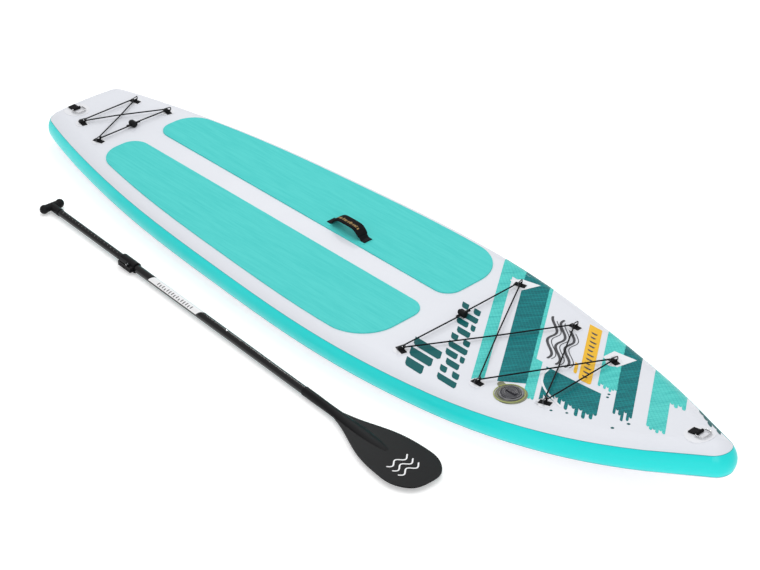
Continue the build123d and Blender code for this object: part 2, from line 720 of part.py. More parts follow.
def build_clamp():
    """The clamp that locks the upper shaft: collar, lever, pin and screw."""
    ear = 27.0
    pin_s = S_COLLAR + 58
    pin_y = -COLLAR_RADIUS - 4
    with BuildPart() as collar:
        with BuildSketch(station(S_COLLAR)):
            Circle(COLLAR_RADIUS)
            Circle(UPPER_RADIUS + FIT, mode=Mode.SUBTRACT)
        extrude(amount=8)
        with BuildSketch(station(S_COLLAR + 8)):
            Circle(COLLAR_RADIUS)
            with Locations((-COLLAR_RADIUS - 2, 0)):
                Rectangle(2 * (ear - COLLAR_RADIUS), 18)
            Circle(SHAFT_RADIUS, mode=Mode.SUBTRACT)
        extrude(amount=S_COLLAR_END - S_COLLAR - 8)
        with BuildSketch(station(S_COLLAR + 20)):
            with Locations((-COLLAR_RADIUS - 4, 0)):
                Rectangle(18, 3)
        extrude(amount=80, mode=Mode.SUBTRACT)
        with BuildSketch(Plane(origin=PADDLE.from_local_coords((pin_s, pin_y, 0)))):
            Circle(SCREW + FIT)
        extrude(amount=20, both=True, mode=Mode.SUBTRACT)
    keep(collar.part, "paddle_clamp_collar")
    with BuildPart() as screw:
        with BuildSketch(Plane(origin=PADDLE.from_local_coords((pin_s, pin_y, -12)))):
            Circle(3.6)
        extrude(amount=3 - GAP)
        with BuildSketch(Plane(origin=PADDLE.from_local_coords((pin_s, pin_y, -12)))):
            Circle(SCREW)
        extrude(amount=26)
    keep(screw.part, "paddle_clamp_screw")
    pivot_z = 15.2
    across = Plane(origin=PADDLE.from_local_coords((pin_s, pin_y, pivot_z)), x_dir=PADDLE.x_dir,
                   z_dir=PADDLE.y_dir)
    with BuildPart() as pivot:
        with BuildSketch(across):
            Circle(3.2)
        extrude(amount=5.5, both=True)
        with BuildSketch(Plane(origin=PADDLE.from_local_coords((pin_s, pin_y, 0)))):
            Circle(SCREW)
        extrude(amount=pivot_z, mode=Mode.SUBTRACT)
    keep(pivot.part, "paddle_lever_pivot")
    with BuildPart() as lever:
        with BuildSketch(across):
            Circle(5.8)
            with Locations((-27, -2.3)):
                RectangleRounded(54, 4, 1.9)
        extrude(amount=6, both=True)
        with BuildSketch(across):
            Circle(3.2 + FIT)
        extrude(amount=7, both=True, mode=Mode.SUBTRACT)
        with BuildSketch(across):
            Circle(8)
        extrude(amount=SCREW + GAP, both=True, mode=Mode.SUBTRACT)
    keep(lever.part, "paddle_clamp_lever")


def build_blade():
    """The blade: a neck that flattens into a spine, on a drop-shaped plate."""
    half = BLADE_WIDTH / 2
    span = S_TIP - S_BLADE
    edge = [(0.16, 0.36), (0.30, 0.60), (0.47, 0.86), (0.70, 1.0), (0.86, 0.94), (0.95, 0.70)]
    points = [(S_BLADE + span * u, half * v) for u, v in edge]
    with BuildPart() as blade:
        with BuildSketch(PADDLE):
            with BuildLine():
                side = Spline((S_BLADE - 20, 10), *points, (S_TIP, 0), tangents=((1, 0.3), (0, -1)))
                mirror(side, Plane.XZ)
                Line((S_BLADE - 20, 10), (S_BLADE - 20, -10))
            make_face()
        extrude(amount=BLADE_THICK / 2, both=True)
        for s, wide, high in ((S_SOCKET + 30, SHAFT_RADIUS + 1.5, SHAFT_RADIUS + 1.5),
                              (S_BLADE, 18, 12), (S_BLADE + 110, 22, 8.5), (S_BLADE + 250, 12, 3.4)):
            with BuildSketch(station(s)):
                Ellipse(wide, high)
        loft()
        with BuildSketch(station(S_SOCKET - 40)):
            Circle(SHAFT_RADIUS + 1.5)
        extrude(amount=70)
        with BuildSketch(station(S_SOCKET - 40)):
            Circle(SHAFT_RADIUS)
        extrude(amount=40 + GAP, mode=Mode.SUBTRACT)
    keep(blade.part, "paddle_blade")


build_hull()
build_threads()
build_pads()
build_handle()
build_towing_rings()
build_valve()
build_fin_base()
build_bungees()
build_shafts()
build_grip()
build_clamp()
build_blade()
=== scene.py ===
"""Looks of an inflatable stand up paddleboard and its paddle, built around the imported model."""

import logging
import math
from collections.abc import Sequence
from dataclasses import dataclass
from enum import Enum

import bmesh
import bpy
import numpy as np
from mathutils import Matrix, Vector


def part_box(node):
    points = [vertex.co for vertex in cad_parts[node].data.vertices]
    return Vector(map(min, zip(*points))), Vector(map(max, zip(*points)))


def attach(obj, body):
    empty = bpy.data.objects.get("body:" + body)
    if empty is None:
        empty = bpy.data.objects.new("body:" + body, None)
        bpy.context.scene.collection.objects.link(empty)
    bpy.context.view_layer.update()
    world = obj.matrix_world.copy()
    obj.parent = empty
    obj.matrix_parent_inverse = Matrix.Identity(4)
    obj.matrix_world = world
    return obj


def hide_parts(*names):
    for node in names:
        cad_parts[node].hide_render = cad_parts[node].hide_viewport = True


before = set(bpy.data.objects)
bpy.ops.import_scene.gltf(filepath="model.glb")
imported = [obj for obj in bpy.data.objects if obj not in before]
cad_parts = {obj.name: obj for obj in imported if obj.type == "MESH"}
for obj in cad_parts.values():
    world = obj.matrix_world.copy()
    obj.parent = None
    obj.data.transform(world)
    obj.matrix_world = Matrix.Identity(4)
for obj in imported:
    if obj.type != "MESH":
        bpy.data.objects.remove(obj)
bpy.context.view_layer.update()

LOG = logging.getLogger("paddleboard")
MM = 0.001
TURN = 2 * math.pi
Colour = tuple[float, float, float]
Place = tuple[float, float, float]


# ---- shader arithmetic ----
class Signal:
    """A shader socket that takes part in Python arithmetic, one Math node for each operation."""

    def __init__(self, bench: "Bench", socket: bpy.types.NodeSocket) -> None:
        """Keeps the bench that owns the socket, and the socket."""
        self.bench = bench
        self.socket = socket

    def _math(self, operation: str, *values: "Signal | float") -> "Signal":
        """Adds one Math node on these values, in order."""
        return self.bench.node("ShaderNodeMath", {"operation": operation}, dict(enumerate(values)))

    def __add__(self, other: "Signal | float") -> "Signal":
        """Sum."""
        return self._math("ADD", self, other)

    def __sub__(self, other: "Signal | float") -> "Signal":
        """Difference."""
        return self._math("SUBTRACT", self, other)

    def __rsub__(self, other: float) -> "Signal":
        """Difference, with the plain number first."""
        return self._math("SUBTRACT", other, self)

    def __mul__(self, other: "Signal | float") -> "Signal":
        """Product."""
        return self._math("MULTIPLY", self, other)

    __radd__ = __add__
    __rmul__ = __mul__

    def sine(self) -> "Signal":
        """Sine of the value in radians."""
        return self._math("SINE", self)

    def size(self) -> "Signal":
        """Absolute value."""
        return self._math("ABSOLUTE", self)

    def power(self, exponent: float) -> "Signal":
        """The value raised to a fixed power."""
        return self._math("POWER", self, exponent)

    def larger(self, other: "Signal | float") -> "Signal":
        """The larger of two values."""
        return self._math("MAXIMUM", self, other)

    def clamped(self) -> "Signal":
        """The value held between 0 and 1."""
        return self._math("MINIMUM", self._math("MAXIMUM", self, 0.0), 1.0)


class Bench:
    """One material's node tree, and the single method that adds nodes to it."""

    def __init__(self, name: str) -> None:
        """Makes an empty material of that name."""
        self.material = bpy.data.materials.new(name)
        self.material.use_nodes = True
        self.tree = self.material.node_tree
        self.tree.nodes.clear()

    def node(self, kind: str, settings: dict | None = None, inputs: dict | None = None,
             output: int | str = 0) -> Signal | None:
        """Adds a node.

        Args:
            kind: The node's type.
            settings: Attributes that are set first.
            inputs: Values or Signals, by the socket's name or number.
            output: The output socket to hand back.

        Returns:
            The chosen output as a Signal, or None for a node with no outputs.
        """
        item = self.tree.nodes.new(kind)
        for key, value in (settings or {}).items():
            setattr(item, key, value)
        for key, value in (inputs or {}).items():
            socket = item.inputs[key]
            if isinstance(value, Signal):
                self.tree.links.new(value.socket, socket)
            elif isinstance(value, tuple) and socket.type == "RGBA":
                socket.default_value = (*value, 1.0)
            else:
                socket.default_value = value
        return Signal(self, item.outputs[output]) if item.outputs else None

    def place(self, turn: float = 0.0, centre: Sequence[float] = (0, 0, 0)) -> tuple[Signal, list[Signal]]:
        """Object coordinates about a centre and turned about Z.

        Args:
            turn: Degrees that the pattern turns.
            centre: The pattern's origin in metres.

        Returns:
            The coordinates as one vector, and as X, Y and Z.
        """
        spot = self.node("ShaderNodeTexCoord", output="Object")
        moved = self.node("ShaderNodeMapping", {"vector_type": "TEXTURE"}, {
            "Vector": spot, "Location": tuple(centre), "Rotation": (0.0, 0.0, math.radians(turn))})
        parts = self.tree.nodes.new("ShaderNodeSeparateXYZ")
        self.tree.links.new(moved.socket, parts.inputs[0])
        return moved, [Signal(self, parts.outputs[i]) for i in range(3)]

    def noise(self, where: Signal, scale: float, detail: float = 3.0) -> Signal:
        """Fractal noise from 0 to 1 at that many features a metre."""
        return self.node("ShaderNodeTexNoise", None, {
            "Vector": where, "Scale": scale, "Detail": detail, "Roughness": 0.55})

    def stretched(self, where: Signal, factors: Place) -> Signal:
        """The coordinates scaled along each axis."""
        return self.node("ShaderNodeVectorMath", {"operation": "MULTIPLY"}, {0: where, 1: factors})

    def blend(self, low: Colour, high: Colour, share: Signal) -> Signal:
        """A colour between two, by share."""
        return self.node("ShaderNodeMix", {"data_type": "RGBA"}, {
            0: share, 6: low, 7: high}, output=2)


class Surface(Enum):
    """How a finish's fine structure runs."""

    COATED = "coated cloth of a hull, with the weave just showing"
    PRINT = "screen print over a coarse cross hatch, with brush streaks"
    FOAM = "grooved closed-cell foam"
    WOVEN = "twill webbing"
    BRAID = "braided cord"
    MOULDED = "moulded plastic with a fine spark texture"
    BRUSHED = "drawn metal wire"
    RINGS = "turned plastic with concentric rings"
    TUBE = "painted tube"


@dataclass(frozen=True)
class Finish:
    """A finish: two tones, how its structure runs and how it shines."""

    name: str
    slot: str
    base: Colour
    second: Colour
    surface: Surface
    roughness: float
    pitch: float = 2.0
    relief: float = 0.1
    metallic: float = 0.0
    coat: float = 0.0
    gloss: float = 0.5
    glow: float = 0.0
    turn: float = 0.0
    centre: Place = (0.0, 0.0, 0.0)

    def structure(self, bench: Bench) -> tuple[Signal, Signal]:
        """The tone from base to second, and the height, both from 0 to 1."""
        where, (x, y, z) = bench.place(self.turn, self.centre)
        wave = TURN / (self.pitch * MM)
        blotch = bench.noise(where, 7.0)
        grain = bench.noise(where, 900.0, 2.0)
        cloud = bench.noise(where, 60.0, 4.0)
        weave = ((x * wave).sine() * (y * wave).sine()) * 0.5 + 0.5
        match self.surface:
            case Surface.COATED:
                return (blotch * 0.55 + cloud * 0.3 + weave * 0.15).clamped(), weave * 0.6 + cloud * 0.4
            case Surface.PRINT:
                lines = (x * wave).sine().size().larger((y * wave).sine().size()).power(14.0)
                streak = bench.noise(bench.stretched(where, (26.0, 3.0, 1.0)), 4.0, 5.0)
                dabs = ((streak - 0.42) * 3.2).clamped()
                return (dabs * 0.62 + lines * 0.38).clamped(), lines * 0.5 + grain * 0.5
            case Surface.FOAM:
                groove = ((y * wave).sine() * 0.5 + 0.5).power(3.0)
                streak = bench.noise(bench.stretched(where, (1.6, 26.0, 1.0)), 5.0, 4.0)
                drawn = ((streak - 0.38) * 2.6).clamped()
                return (drawn * 0.6 + groove * 0.2 + cloud * 0.2).clamped(), 1.0 - groove
            case Surface.WOVEN:
                twill = ((x + y + z) * wave).sine() * ((x - y + z) * wave).sine()
                return (twill * 0.3 + grain * 0.4 + 0.15).clamped(), twill * 0.5 + 0.5
            case Surface.BRAID:
                strand = ((x + y) * wave).sine() * ((x - y) * wave).sine()
                return (strand * 0.4 + grain * 0.3 + 0.1).clamped(), strand * 0.5 + 0.5
            case Surface.BRUSHED:
                drawn = bench.noise(bench.stretched(where, (1.0, 9.0, 9.0)), 260.0)
                return drawn, drawn
            case Surface.RINGS:
                reach = bench.node("ShaderNodeVectorMath", {"operation": "LENGTH"}, {0: where}, "Value")
                ring = ((reach * wave).sine() * 0.5 + 0.5).power(2.0)
                return (ring * 0.75 + cloud * 0.25).clamped(), ring
            case Surface.TUBE:
                wrap = bench.noise(bench.stretched(where, (0.15, 6.0, 6.0)), 90.0)
                return (wrap * 0.6 + cloud * 0.4).clamped(), wrap * 0.5 + grain * 0.5
            case _:
                return (grain * 0.6 + cloud * 0.4).clamped(), grain

    def make(self) -> bpy.types.Material:
        """The finish as a material: the tone drives colour and roughness, the height drives bump."""
        bench = Bench(self.name)
        tone, height = self.structure(bench)
        bump = bench.node("ShaderNodeBump", None, {
            "Height": height, "Distance": self.relief * MM, "Strength": 0.6}, "Normal")
        shader = bench.node("ShaderNodeBsdfPrincipled", None, {
            "Base Color": bench.blend(self.base, self.second, tone),
            "Roughness": tone * 0.12 + (self.roughness - 0.06),
            "Metallic": self.metallic, "Specular IOR Level": self.gloss,
            "Coat Weight": self.coat, "Coat Roughness": 0.25,
            "Emission Strength": self.glow, "Normal": bump})
        bench.node("ShaderNodeOutputMaterial", None, {"Surface": shader})
        return bench.material


TEAL_TURN = -35.0
VALVE_SPOT = (0.8735, -0.201, 0.13)
WHITE, AQUA, BLACK = (0.35, 0.25, 0.09)
DECK_WHITE = Finish(
    "deck_white", "deck_laminate", (0.73, 0.745, 0.79), (0.68, 0.7, 0.755), Surface.COATED,
    roughness=0.42, pitch=1.6, relief=0.05, gloss=WHITE)
UNDER_WHITE = Finish(
    "under_white", "bottom_laminate", (0.74, 0.75, 0.79), (0.69, 0.71, 0.76), Surface.COATED,
    roughness=0.45, pitch=1.6, relief=0.05, gloss=WHITE)
RAIL_AQUA = Finish(
    "rail_aqua", "rail_laminate", (0.012, 0.7, 0.68), (0.01, 0.63, 0.62), Surface.COATED, roughness=0.32,
    pitch=1.6, relief=0.04, gloss=AQUA, coat=0.08)
# The seam bead is real weld geometry, but its darker teal is painted shade: it stands in for the shading line
# where the rail laminate overlaps the deck.
SEAM_SHADE_AQUA = Finish(
    "seam_aqua_painted_shade", "rail_laminate", (0.02, 0.38, 0.4), (0.02, 0.33, 0.35), Surface.COATED, roughness=0.4,
    gloss=AQUA)
PAD_AQUA = Finish(
    "pad_aqua", "pad_foam", (0.085, 0.62, 0.59), (0.048, 0.53, 0.51), Surface.FOAM, roughness=0.72,
    pitch=5.0, relief=0.25, gloss=AQUA)
PRINT_PALE = Finish(
    "print_pale", "deck_laminate", (0.075, 0.61, 0.56), (0.012, 0.38, 0.37), Surface.PRINT,
    roughness=0.45, pitch=22.0, relief=0.04, gloss=AQUA, turn=TEAL_TURN)
PRINT_DARK = Finish(
    "print_dark", "deck_laminate", (0.0, 0.115, 0.13), (0.008, 0.27, 0.28), Surface.PRINT,
    roughness=0.45, pitch=22.0, relief=0.04, gloss=BLACK, turn=TEAL_TURN)
PRINT_WHITE = Finish(
    "print_white", "deck_laminate", (0.8, 0.81, 0.84), (0.76, 0.77, 0.81), Surface.COATED,
    roughness=0.42, gloss=WHITE)
PRINT_INK = Finish(
    "print_ink", "deck_laminate", (0.003, 0.085, 0.09), (0.005, 0.12, 0.125), Surface.COATED,
    roughness=0.45, gloss=BLACK)
PRINT_GREY = Finish(
    "print_grey", "deck_laminate", (0.04, 0.04, 0.045), (0.11, 0.11, 0.12), Surface.COATED,
    roughness=0.5, gloss=BLACK)
PRINT_YELLOW = Finish(
    "print_yellow", "deck_laminate", (0.84, 0.5, 0.02), (0.78, 0.43, 0.015), Surface.COATED,
    roughness=0.45, gloss=AQUA)
WEBBING = Finish(
    "black_webbing", "webbing", (0.003, 0.003, 0.0035), (0.018, 0.018, 0.02), Surface.WOVEN,
    roughness=0.75, pitch=2.4, relief=0.25, gloss=BLACK)
SLEEVE = Finish(
    "black_sleeve", "sleeve", (0.003, 0.003, 0.0035), (0.015, 0.014, 0.014), Surface.WOVEN,
    roughness=0.8, pitch=1.6, relief=0.15, gloss=BLACK)
GOLD_INK = Finish(
    "gold_ink", "sleeve", (0.36, 0.24, 0.09), (0.22, 0.13, 0.04), Surface.WOVEN, roughness=0.6,
    pitch=1.6, relief=0.1, gloss=AQUA)
THREAD = Finish(
    "sewing_thread", "webbing", (0.03, 0.03, 0.033), (0.07, 0.07, 0.075), Surface.BRAID, roughness=0.6,
    pitch=0.8, relief=0.05, gloss=BLACK)
CORD_BLACK = Finish(
    "black_cord", "bungee", (0.003, 0.003, 0.004), (0.02, 0.02, 0.022), Surface.BRAID, roughness=0.6,
    pitch=3.0, relief=0.2, gloss=BLACK)
STEEL = Finish(
    "steel_wire", "steel", (0.62, 0.62, 0.63), (0.42, 0.42, 0.44), Surface.BRUSHED, roughness=0.25,
    pitch=1.0, relief=0.02, metallic=1.0)
PATCH = Finish(
    "patch_white", "patch", (0.77, 0.78, 0.81), (0.72, 0.73, 0.77), Surface.COATED, roughness=0.38,
    pitch=1.4, relief=0.06, gloss=WHITE)
PLASTIC = Finish(
    "black_moulding", "black_plastic", (0.004, 0.004, 0.0045), (0.014, 0.014, 0.015), Surface.MOULDED,
    roughness=0.4, pitch=1.0, relief=0.04, gloss=BLACK)
BLADE = Finish(
    "blade_moulding", "black_plastic", (0.004, 0.004, 0.0045), (0.012, 0.012, 0.013), Surface.MOULDED,
    roughness=0.38, pitch=1.0, relief=0.05, gloss=BLACK)
SHAFT = Finish(
    "black_tube", "black_tube", (0.002, 0.002, 0.0025), (0.006, 0.006, 0.007), Surface.TUBE,
    roughness=0.17, pitch=1.0, relief=0.005, gloss=0.28)
WIRE = Finish(
    "dark_wire", "steel", (0.035, 0.035, 0.038), (0.09, 0.09, 0.095), Surface.BRUSHED, roughness=0.35,
    pitch=1.0, relief=0.02, metallic=0.6)
FLANGE = Finish(
    "valve_olive", "valve_olive", (0.1, 0.105, 0.05), (0.3, 0.31, 0.2), Surface.RINGS, roughness=0.38,
    pitch=5.0, relief=0.3, gloss=AQUA, centre=VALVE_SPOT)
FLANGE_RIM = Finish(
    "valve_rim", "valve_olive", (0.42, 0.47, 0.12), (0.32, 0.36, 0.09), Surface.MOULDED, roughness=0.35)
HOUSING = Finish(
    "valve_grey", "valve_grey", (0.12, 0.12, 0.13), (0.26, 0.26, 0.27), Surface.RINGS, roughness=0.35,
    pitch=4.5, relief=0.3, centre=VALVE_SPOT)
CAP = Finish(
    "valve_dark", "valve_dark", (0.02, 0.02, 0.026), (0.075, 0.075, 0.085), Surface.RINGS, roughness=0.3,
    pitch=6.0, relief=0.3, gloss=0.3, centre=VALVE_SPOT)
LABEL = Finish(
    "label_white", "black_tube", (0.83, 0.83, 0.84), (0.79, 0.79, 0.8), Surface.MOULDED, roughness=0.4)
TICK = Finish(
    "scale_grey", "black_tube", (0.3, 0.3, 0.3), (0.22, 0.22, 0.22), Surface.MOULDED, roughness=0.5)
FLOOR = Finish(
    "studio_floor", "deck_laminate", (0.93, 0.93, 0.93), (0.92, 0.92, 0.92), Surface.COATED,
    roughness=0.9, glow=0.3)


# ---- meshes from arrays ----
class Wardrobe:
    """Makes each finish's material once, and dresses pieces and CAD nodes in it."""

    made: dict[str, bpy.types.Material] = {}

    @classmethod
    def material(cls, finish: Finish) -> bpy.types.Material:
        """The material of that finish."""
        if finish.name not in cls.made:
            cls.made[finish.name] = finish.make()
        return cls.made[finish.name]

    @classmethod
    def dress_node(cls, node: str, finish: Finish) -> None:
        """Gives a CAD node its finish."""
        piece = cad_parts[node]
        if not piece.data.materials:
            piece.data.materials.append(None)
        for holder in piece.material_slots:
            holder.material = cls.material(finish)
        LOG.info("dressed %s in %s", node, finish.name)


class Sheaf:
    """Collects grids of points and joins them into one piece."""

    def __init__(self, name: str) -> None:
        """Starts an empty piece of that name."""
        self.name = name
        self.points: list[np.ndarray] = []
        self.faces: list[np.ndarray] = []
        self.count = 0

    def grid(self, points: np.ndarray, wrap_rows: bool = False, wrap_columns: bool = False) -> "Sheaf":
        """Adds a surface of two parameters.

        Args:
            points: Rows by columns by 3, in metres.
            wrap_rows: Whether the last row joins the first.
            wrap_columns: Whether the last column joins the first.

        Returns:
            This sheaf.
        """
        rows, columns = points.shape[:2]
        number = np.arange(rows * columns).reshape(rows, columns)
        down = np.roll(number, -1, 0) if wrap_rows else number[1:]
        first = number if wrap_rows else number[:-1]
        if wrap_columns:
            corners = (first, down, np.roll(down, -1, 1), np.roll(first, -1, 1))
        else:
            corners = (first[:, :-1], down[:, :-1], down[:, 1:], first[:, 1:])
        self.faces.append(np.stack(corners, -1).reshape(-1, 4) + self.count)
        self.points.append(points.reshape(-1, 3))
        self.count += rows * columns
        return self

    def copies(self, points: np.ndarray, faces: np.ndarray) -> "Sheaf":
        """Adds many copies of a small shape: points is copies by vertices by 3, faces its quads."""
        total, each = points.shape[:2]
        shift = (np.arange(total) * each)[:, None, None] + self.count
        self.faces.append((faces[None] + shift).reshape(-1, 4))
        self.points.append(points.reshape(-1, 3))
        self.count += total * each
        return self

    def piece(self, weld: bool = True, outward: bool = False) -> bpy.types.Object:
        """Joins everything into an object at the origin.

        Args:
            weld: Whether points that meet are merged, which closes seams and poles.
            outward: Whether the normals of a closed shape are worked out again.

        Returns:
            The new object.
        """
        points = np.concatenate(self.points).astype(np.float32)
        faces = np.concatenate(self.faces)
        mesh = bpy.data.meshes.new(self.name)
        mesh.vertices.add(len(points))
        mesh.vertices.foreach_set("co", points.ravel())
        mesh.loops.add(faces.size)
        mesh.loops.foreach_set("vertex_index", faces.ravel().astype(np.int32))
        mesh.polygons.add(len(faces))
        mesh.polygons.foreach_set("loop_start", np.arange(0, faces.size, 4, dtype=np.int32))
        mesh.polygons.foreach_set("loop_total", np.full(len(faces), 4, np.int32))
        mesh.update(calc_edges=True)
        mesh.validate()
        work = bmesh.new()
        work.from_mesh(mesh)
        if weld:
            bmesh.ops.remove_doubles(work, verts=work.verts, dist=2e-6)
            bmesh.ops.dissolve_degenerate(work, edges=work.edges, dist=1e-7)
        if outward:
            bmesh.ops.recalc_face_normals(work, faces=work.faces)
        work.to_mesh(mesh)
        work.free()
        mesh.polygons.foreach_set("use_smooth", np.ones(len(mesh.polygons), bool))
        item = bpy.data.objects.new(self.name, mesh)
        bpy.context.scene.collection.objects.link(item)
        return item


def settle(item: bpy.types.Object, finish: Finish, body: str, nodes: Sequence[str] = (),
           crease: float = 40.0) -> bpy.types.Object:
    """Dresses a piece, rides it on a body and reports it.

    Args:
        item: The piece.
        finish: Its finish, whose material it takes.
        body: The CAD body that it moves with.
        nodes: The CAD nodes that it stands for.
        crease: Degrees above which an edge stays sharp.

    Returns:
        The piece.
    """
    item.data.materials.clear()
    item.data.materials.append(Wardrobe.material(finish))
    item.data.set_sharp_from_angle(angle=math.radians(crease))
    if nodes:
        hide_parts(*nodes)
    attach(item, body)
    LOG.info("built %s: %d faces on %s", item.name, len(item.data.polygons), body)
    return item


def drape(item: bpy.types.Object, node: str, lift: float) -> bpy.types.Object:
    """Lets a flat piece fall along -Z onto a CAD node.

    Args:
        item: The flat piece, above the node.
        node: The CAD node that it lands on.
        lift: How far above the node it is left, in metres.

    Returns:
        The piece.
    """
    wrap = item.modifiers.new("fall", "SHRINKWRAP")
    wrap.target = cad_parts[node]
    wrap.wrap_method = "PROJECT"
    wrap.use_project_z = True
    wrap.use_negative_direction = True
    wrap.use_positive_direction = False
    scene_graph = bpy.context.evaluated_depsgraph_get()
    fallen = bpy.data.meshes.new_from_object(item.evaluated_get(scene_graph))
    item.modifiers.clear()
    item.data = fallen
    item.data.transform(Matrix.Translation((0, 0, lift)))
    return item


def vertices_of(node: str) -> np.ndarray:
    """A CAD node's vertices as an array, in metres."""
    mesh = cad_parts[node].data
    flat = np.empty(len(mesh.vertices) * 3, np.float32)
    mesh.vertices.foreach_get("co", flat)
    return flat.reshape(-1, 3).astype(float)


def convex_rim(points: np.ndarray, count: int) -> np.ndarray:
    """The rim of a long convex outline seen from above, anticlockwise and evenly spaced.

    For each bearing, the rim holds the vertex that reaches farthest that way. Lengths along X are
    shrunk first, so that the long sides get as many bearings as the ends.

    Args:
        points: Vertices, n by 3.
        count: How many points the rim gets.

    Returns:
        The rim, count by 3.
    """
    bearing = np.linspace(0, TURN, 2400, endpoint=False)
    reach = np.outer(np.cos(bearing), points[:, 0] * 0.2) + np.outer(np.sin(bearing), points[:, 1])
    order = reach.argmax(1)
    order = order[np.concatenate(([True], np.diff(order) != 0))]
    rim = points[order]
    rim = np.concatenate((rim, rim[:1]))
    run = np.concatenate(([0.0], np.cumsum(np.linalg.norm(np.diff(rim, axis=0), axis=1))))
    even = np.linspace(0, run[-1], count, endpoint=False)
    return np.stack([np.interp(even, run, rim[:, i]) for i in range(3)], 1)


def soft_route(corners: Sequence[Sequence[float]], samples: int = 10) -> np.ndarray:
    """A quadratic B-spline of these corners, held at both ends.

    Each span runs from the middle of one side to the middle of the next and bends towards the
    corner between them: (1-t)^2/2 of the first corner, 1/2+t-t^2 of the second, t^2/2 of the third.

    Args:
        corners: The control points.
        samples: Points in each span.

    Returns:
        The route's points.
    """
    knots = np.asarray(corners, float)
    knots = np.concatenate((2 * knots[:1] - knots[1:2], knots, 2 * knots[-1:] - knots[-2:-1]))
    t = np.linspace(0, 1, samples, endpoint=False)[None, :, None]
    a, b, c = knots[:-2, None], knots[1:-1, None], knots[2:, None]
    spans = 0.5 * (1 - t) ** 2 * a + (0.5 + t - t * t) * b + 0.5 * t * t * c
    return np.concatenate((spans.reshape(-1, knots.shape[1]), 0.5 * (knots[-2:-1] + knots[-1:])))


def tube_along(path: np.ndarray, radius: float, sides: int = 10) -> np.ndarray:
    """A round tube about a closed path: circles square to it, at path + radius * (cos, sin).

    Args:
        path: The closed path, n by 3.
        radius: The tube's radius in metres.
        sides: Points round it.

    Returns:
        The tube's grid, n by sides by 3.
    """
    ahead = np.roll(path, -1, 0) - np.roll(path, 1, 0)
    ahead /= np.linalg.norm(ahead, axis=1, keepdims=True)
    across = np.cross(ahead, (0.0, 0.0, 1.0))
    across /= np.linalg.norm(across, axis=1, keepdims=True)
    over = np.cross(across, ahead)
    angle = np.linspace(0, TURN, sides, endpoint=False)[None, :, None]
    return path[:, None] + radius * (across[:, None] * np.cos(angle) + over[:, None] * np.sin(angle))


STITCH_FACES = np.array([(0, 1, 2, 3), (7, 6, 5, 4), (0, 4, 5, 1), (1, 5, 6, 2), (2, 6, 7, 3), (3, 7, 4, 0)])


def stitches(starts: np.ndarray, ends: np.ndarray, up: np.ndarray, width: float) -> np.ndarray:
    """One small wedge for each stitch: a box from start to end whose top is drawn in.

    Args:
        starts: Where each stitch goes in, n by 3.
        ends: Where each comes out, n by 3.
        up: The cloth's outward direction, n by 3 or 3.
        width: Thread width in metres.

    Returns:
        Points, n by 8 by 3.
    """
    along = ends - starts
    side = np.cross(along, np.broadcast_to(up, along.shape))
    side /= np.linalg.norm(side, axis=1, keepdims=True)
    rise = np.broadcast_to(up, along.shape) * width * 0.55
    half = side * width / 2
    inner, outer = starts + along * 0.2, ends - along * 0.2
    low = np.stack((starts - half, starts + half, ends + half, ends - half), 1)[:, ::-1]
    crown = half * 0.5
    high = np.stack((inner - crown, inner + crown, outer + crown, outer - crown), 1)[:, ::-1]
    return np.concatenate((low - rise[:, None] * 0.3, high + rise[:, None]), 1)


def sewn_run(start: np.ndarray, end: np.ndarray, pitch: float = 3.2 * MM) -> tuple[np.ndarray, np.ndarray]:
    """Splits a straight seam into stitches with small gaps between them.

    Args:
        start: Where the seam begins.
        end: Where it stops.
        pitch: Distance from one stitch to the next.

    Returns:
        The stitches' starts and ends, each n by 3.
    """
    total = max(2, round(float(np.linalg.norm(end - start)) / pitch))
    share = np.arange(total)[:, None] / total
    return start + (end - start) * (share + 0.12 / total), start + (end - start) * (share + 0.85 / total)


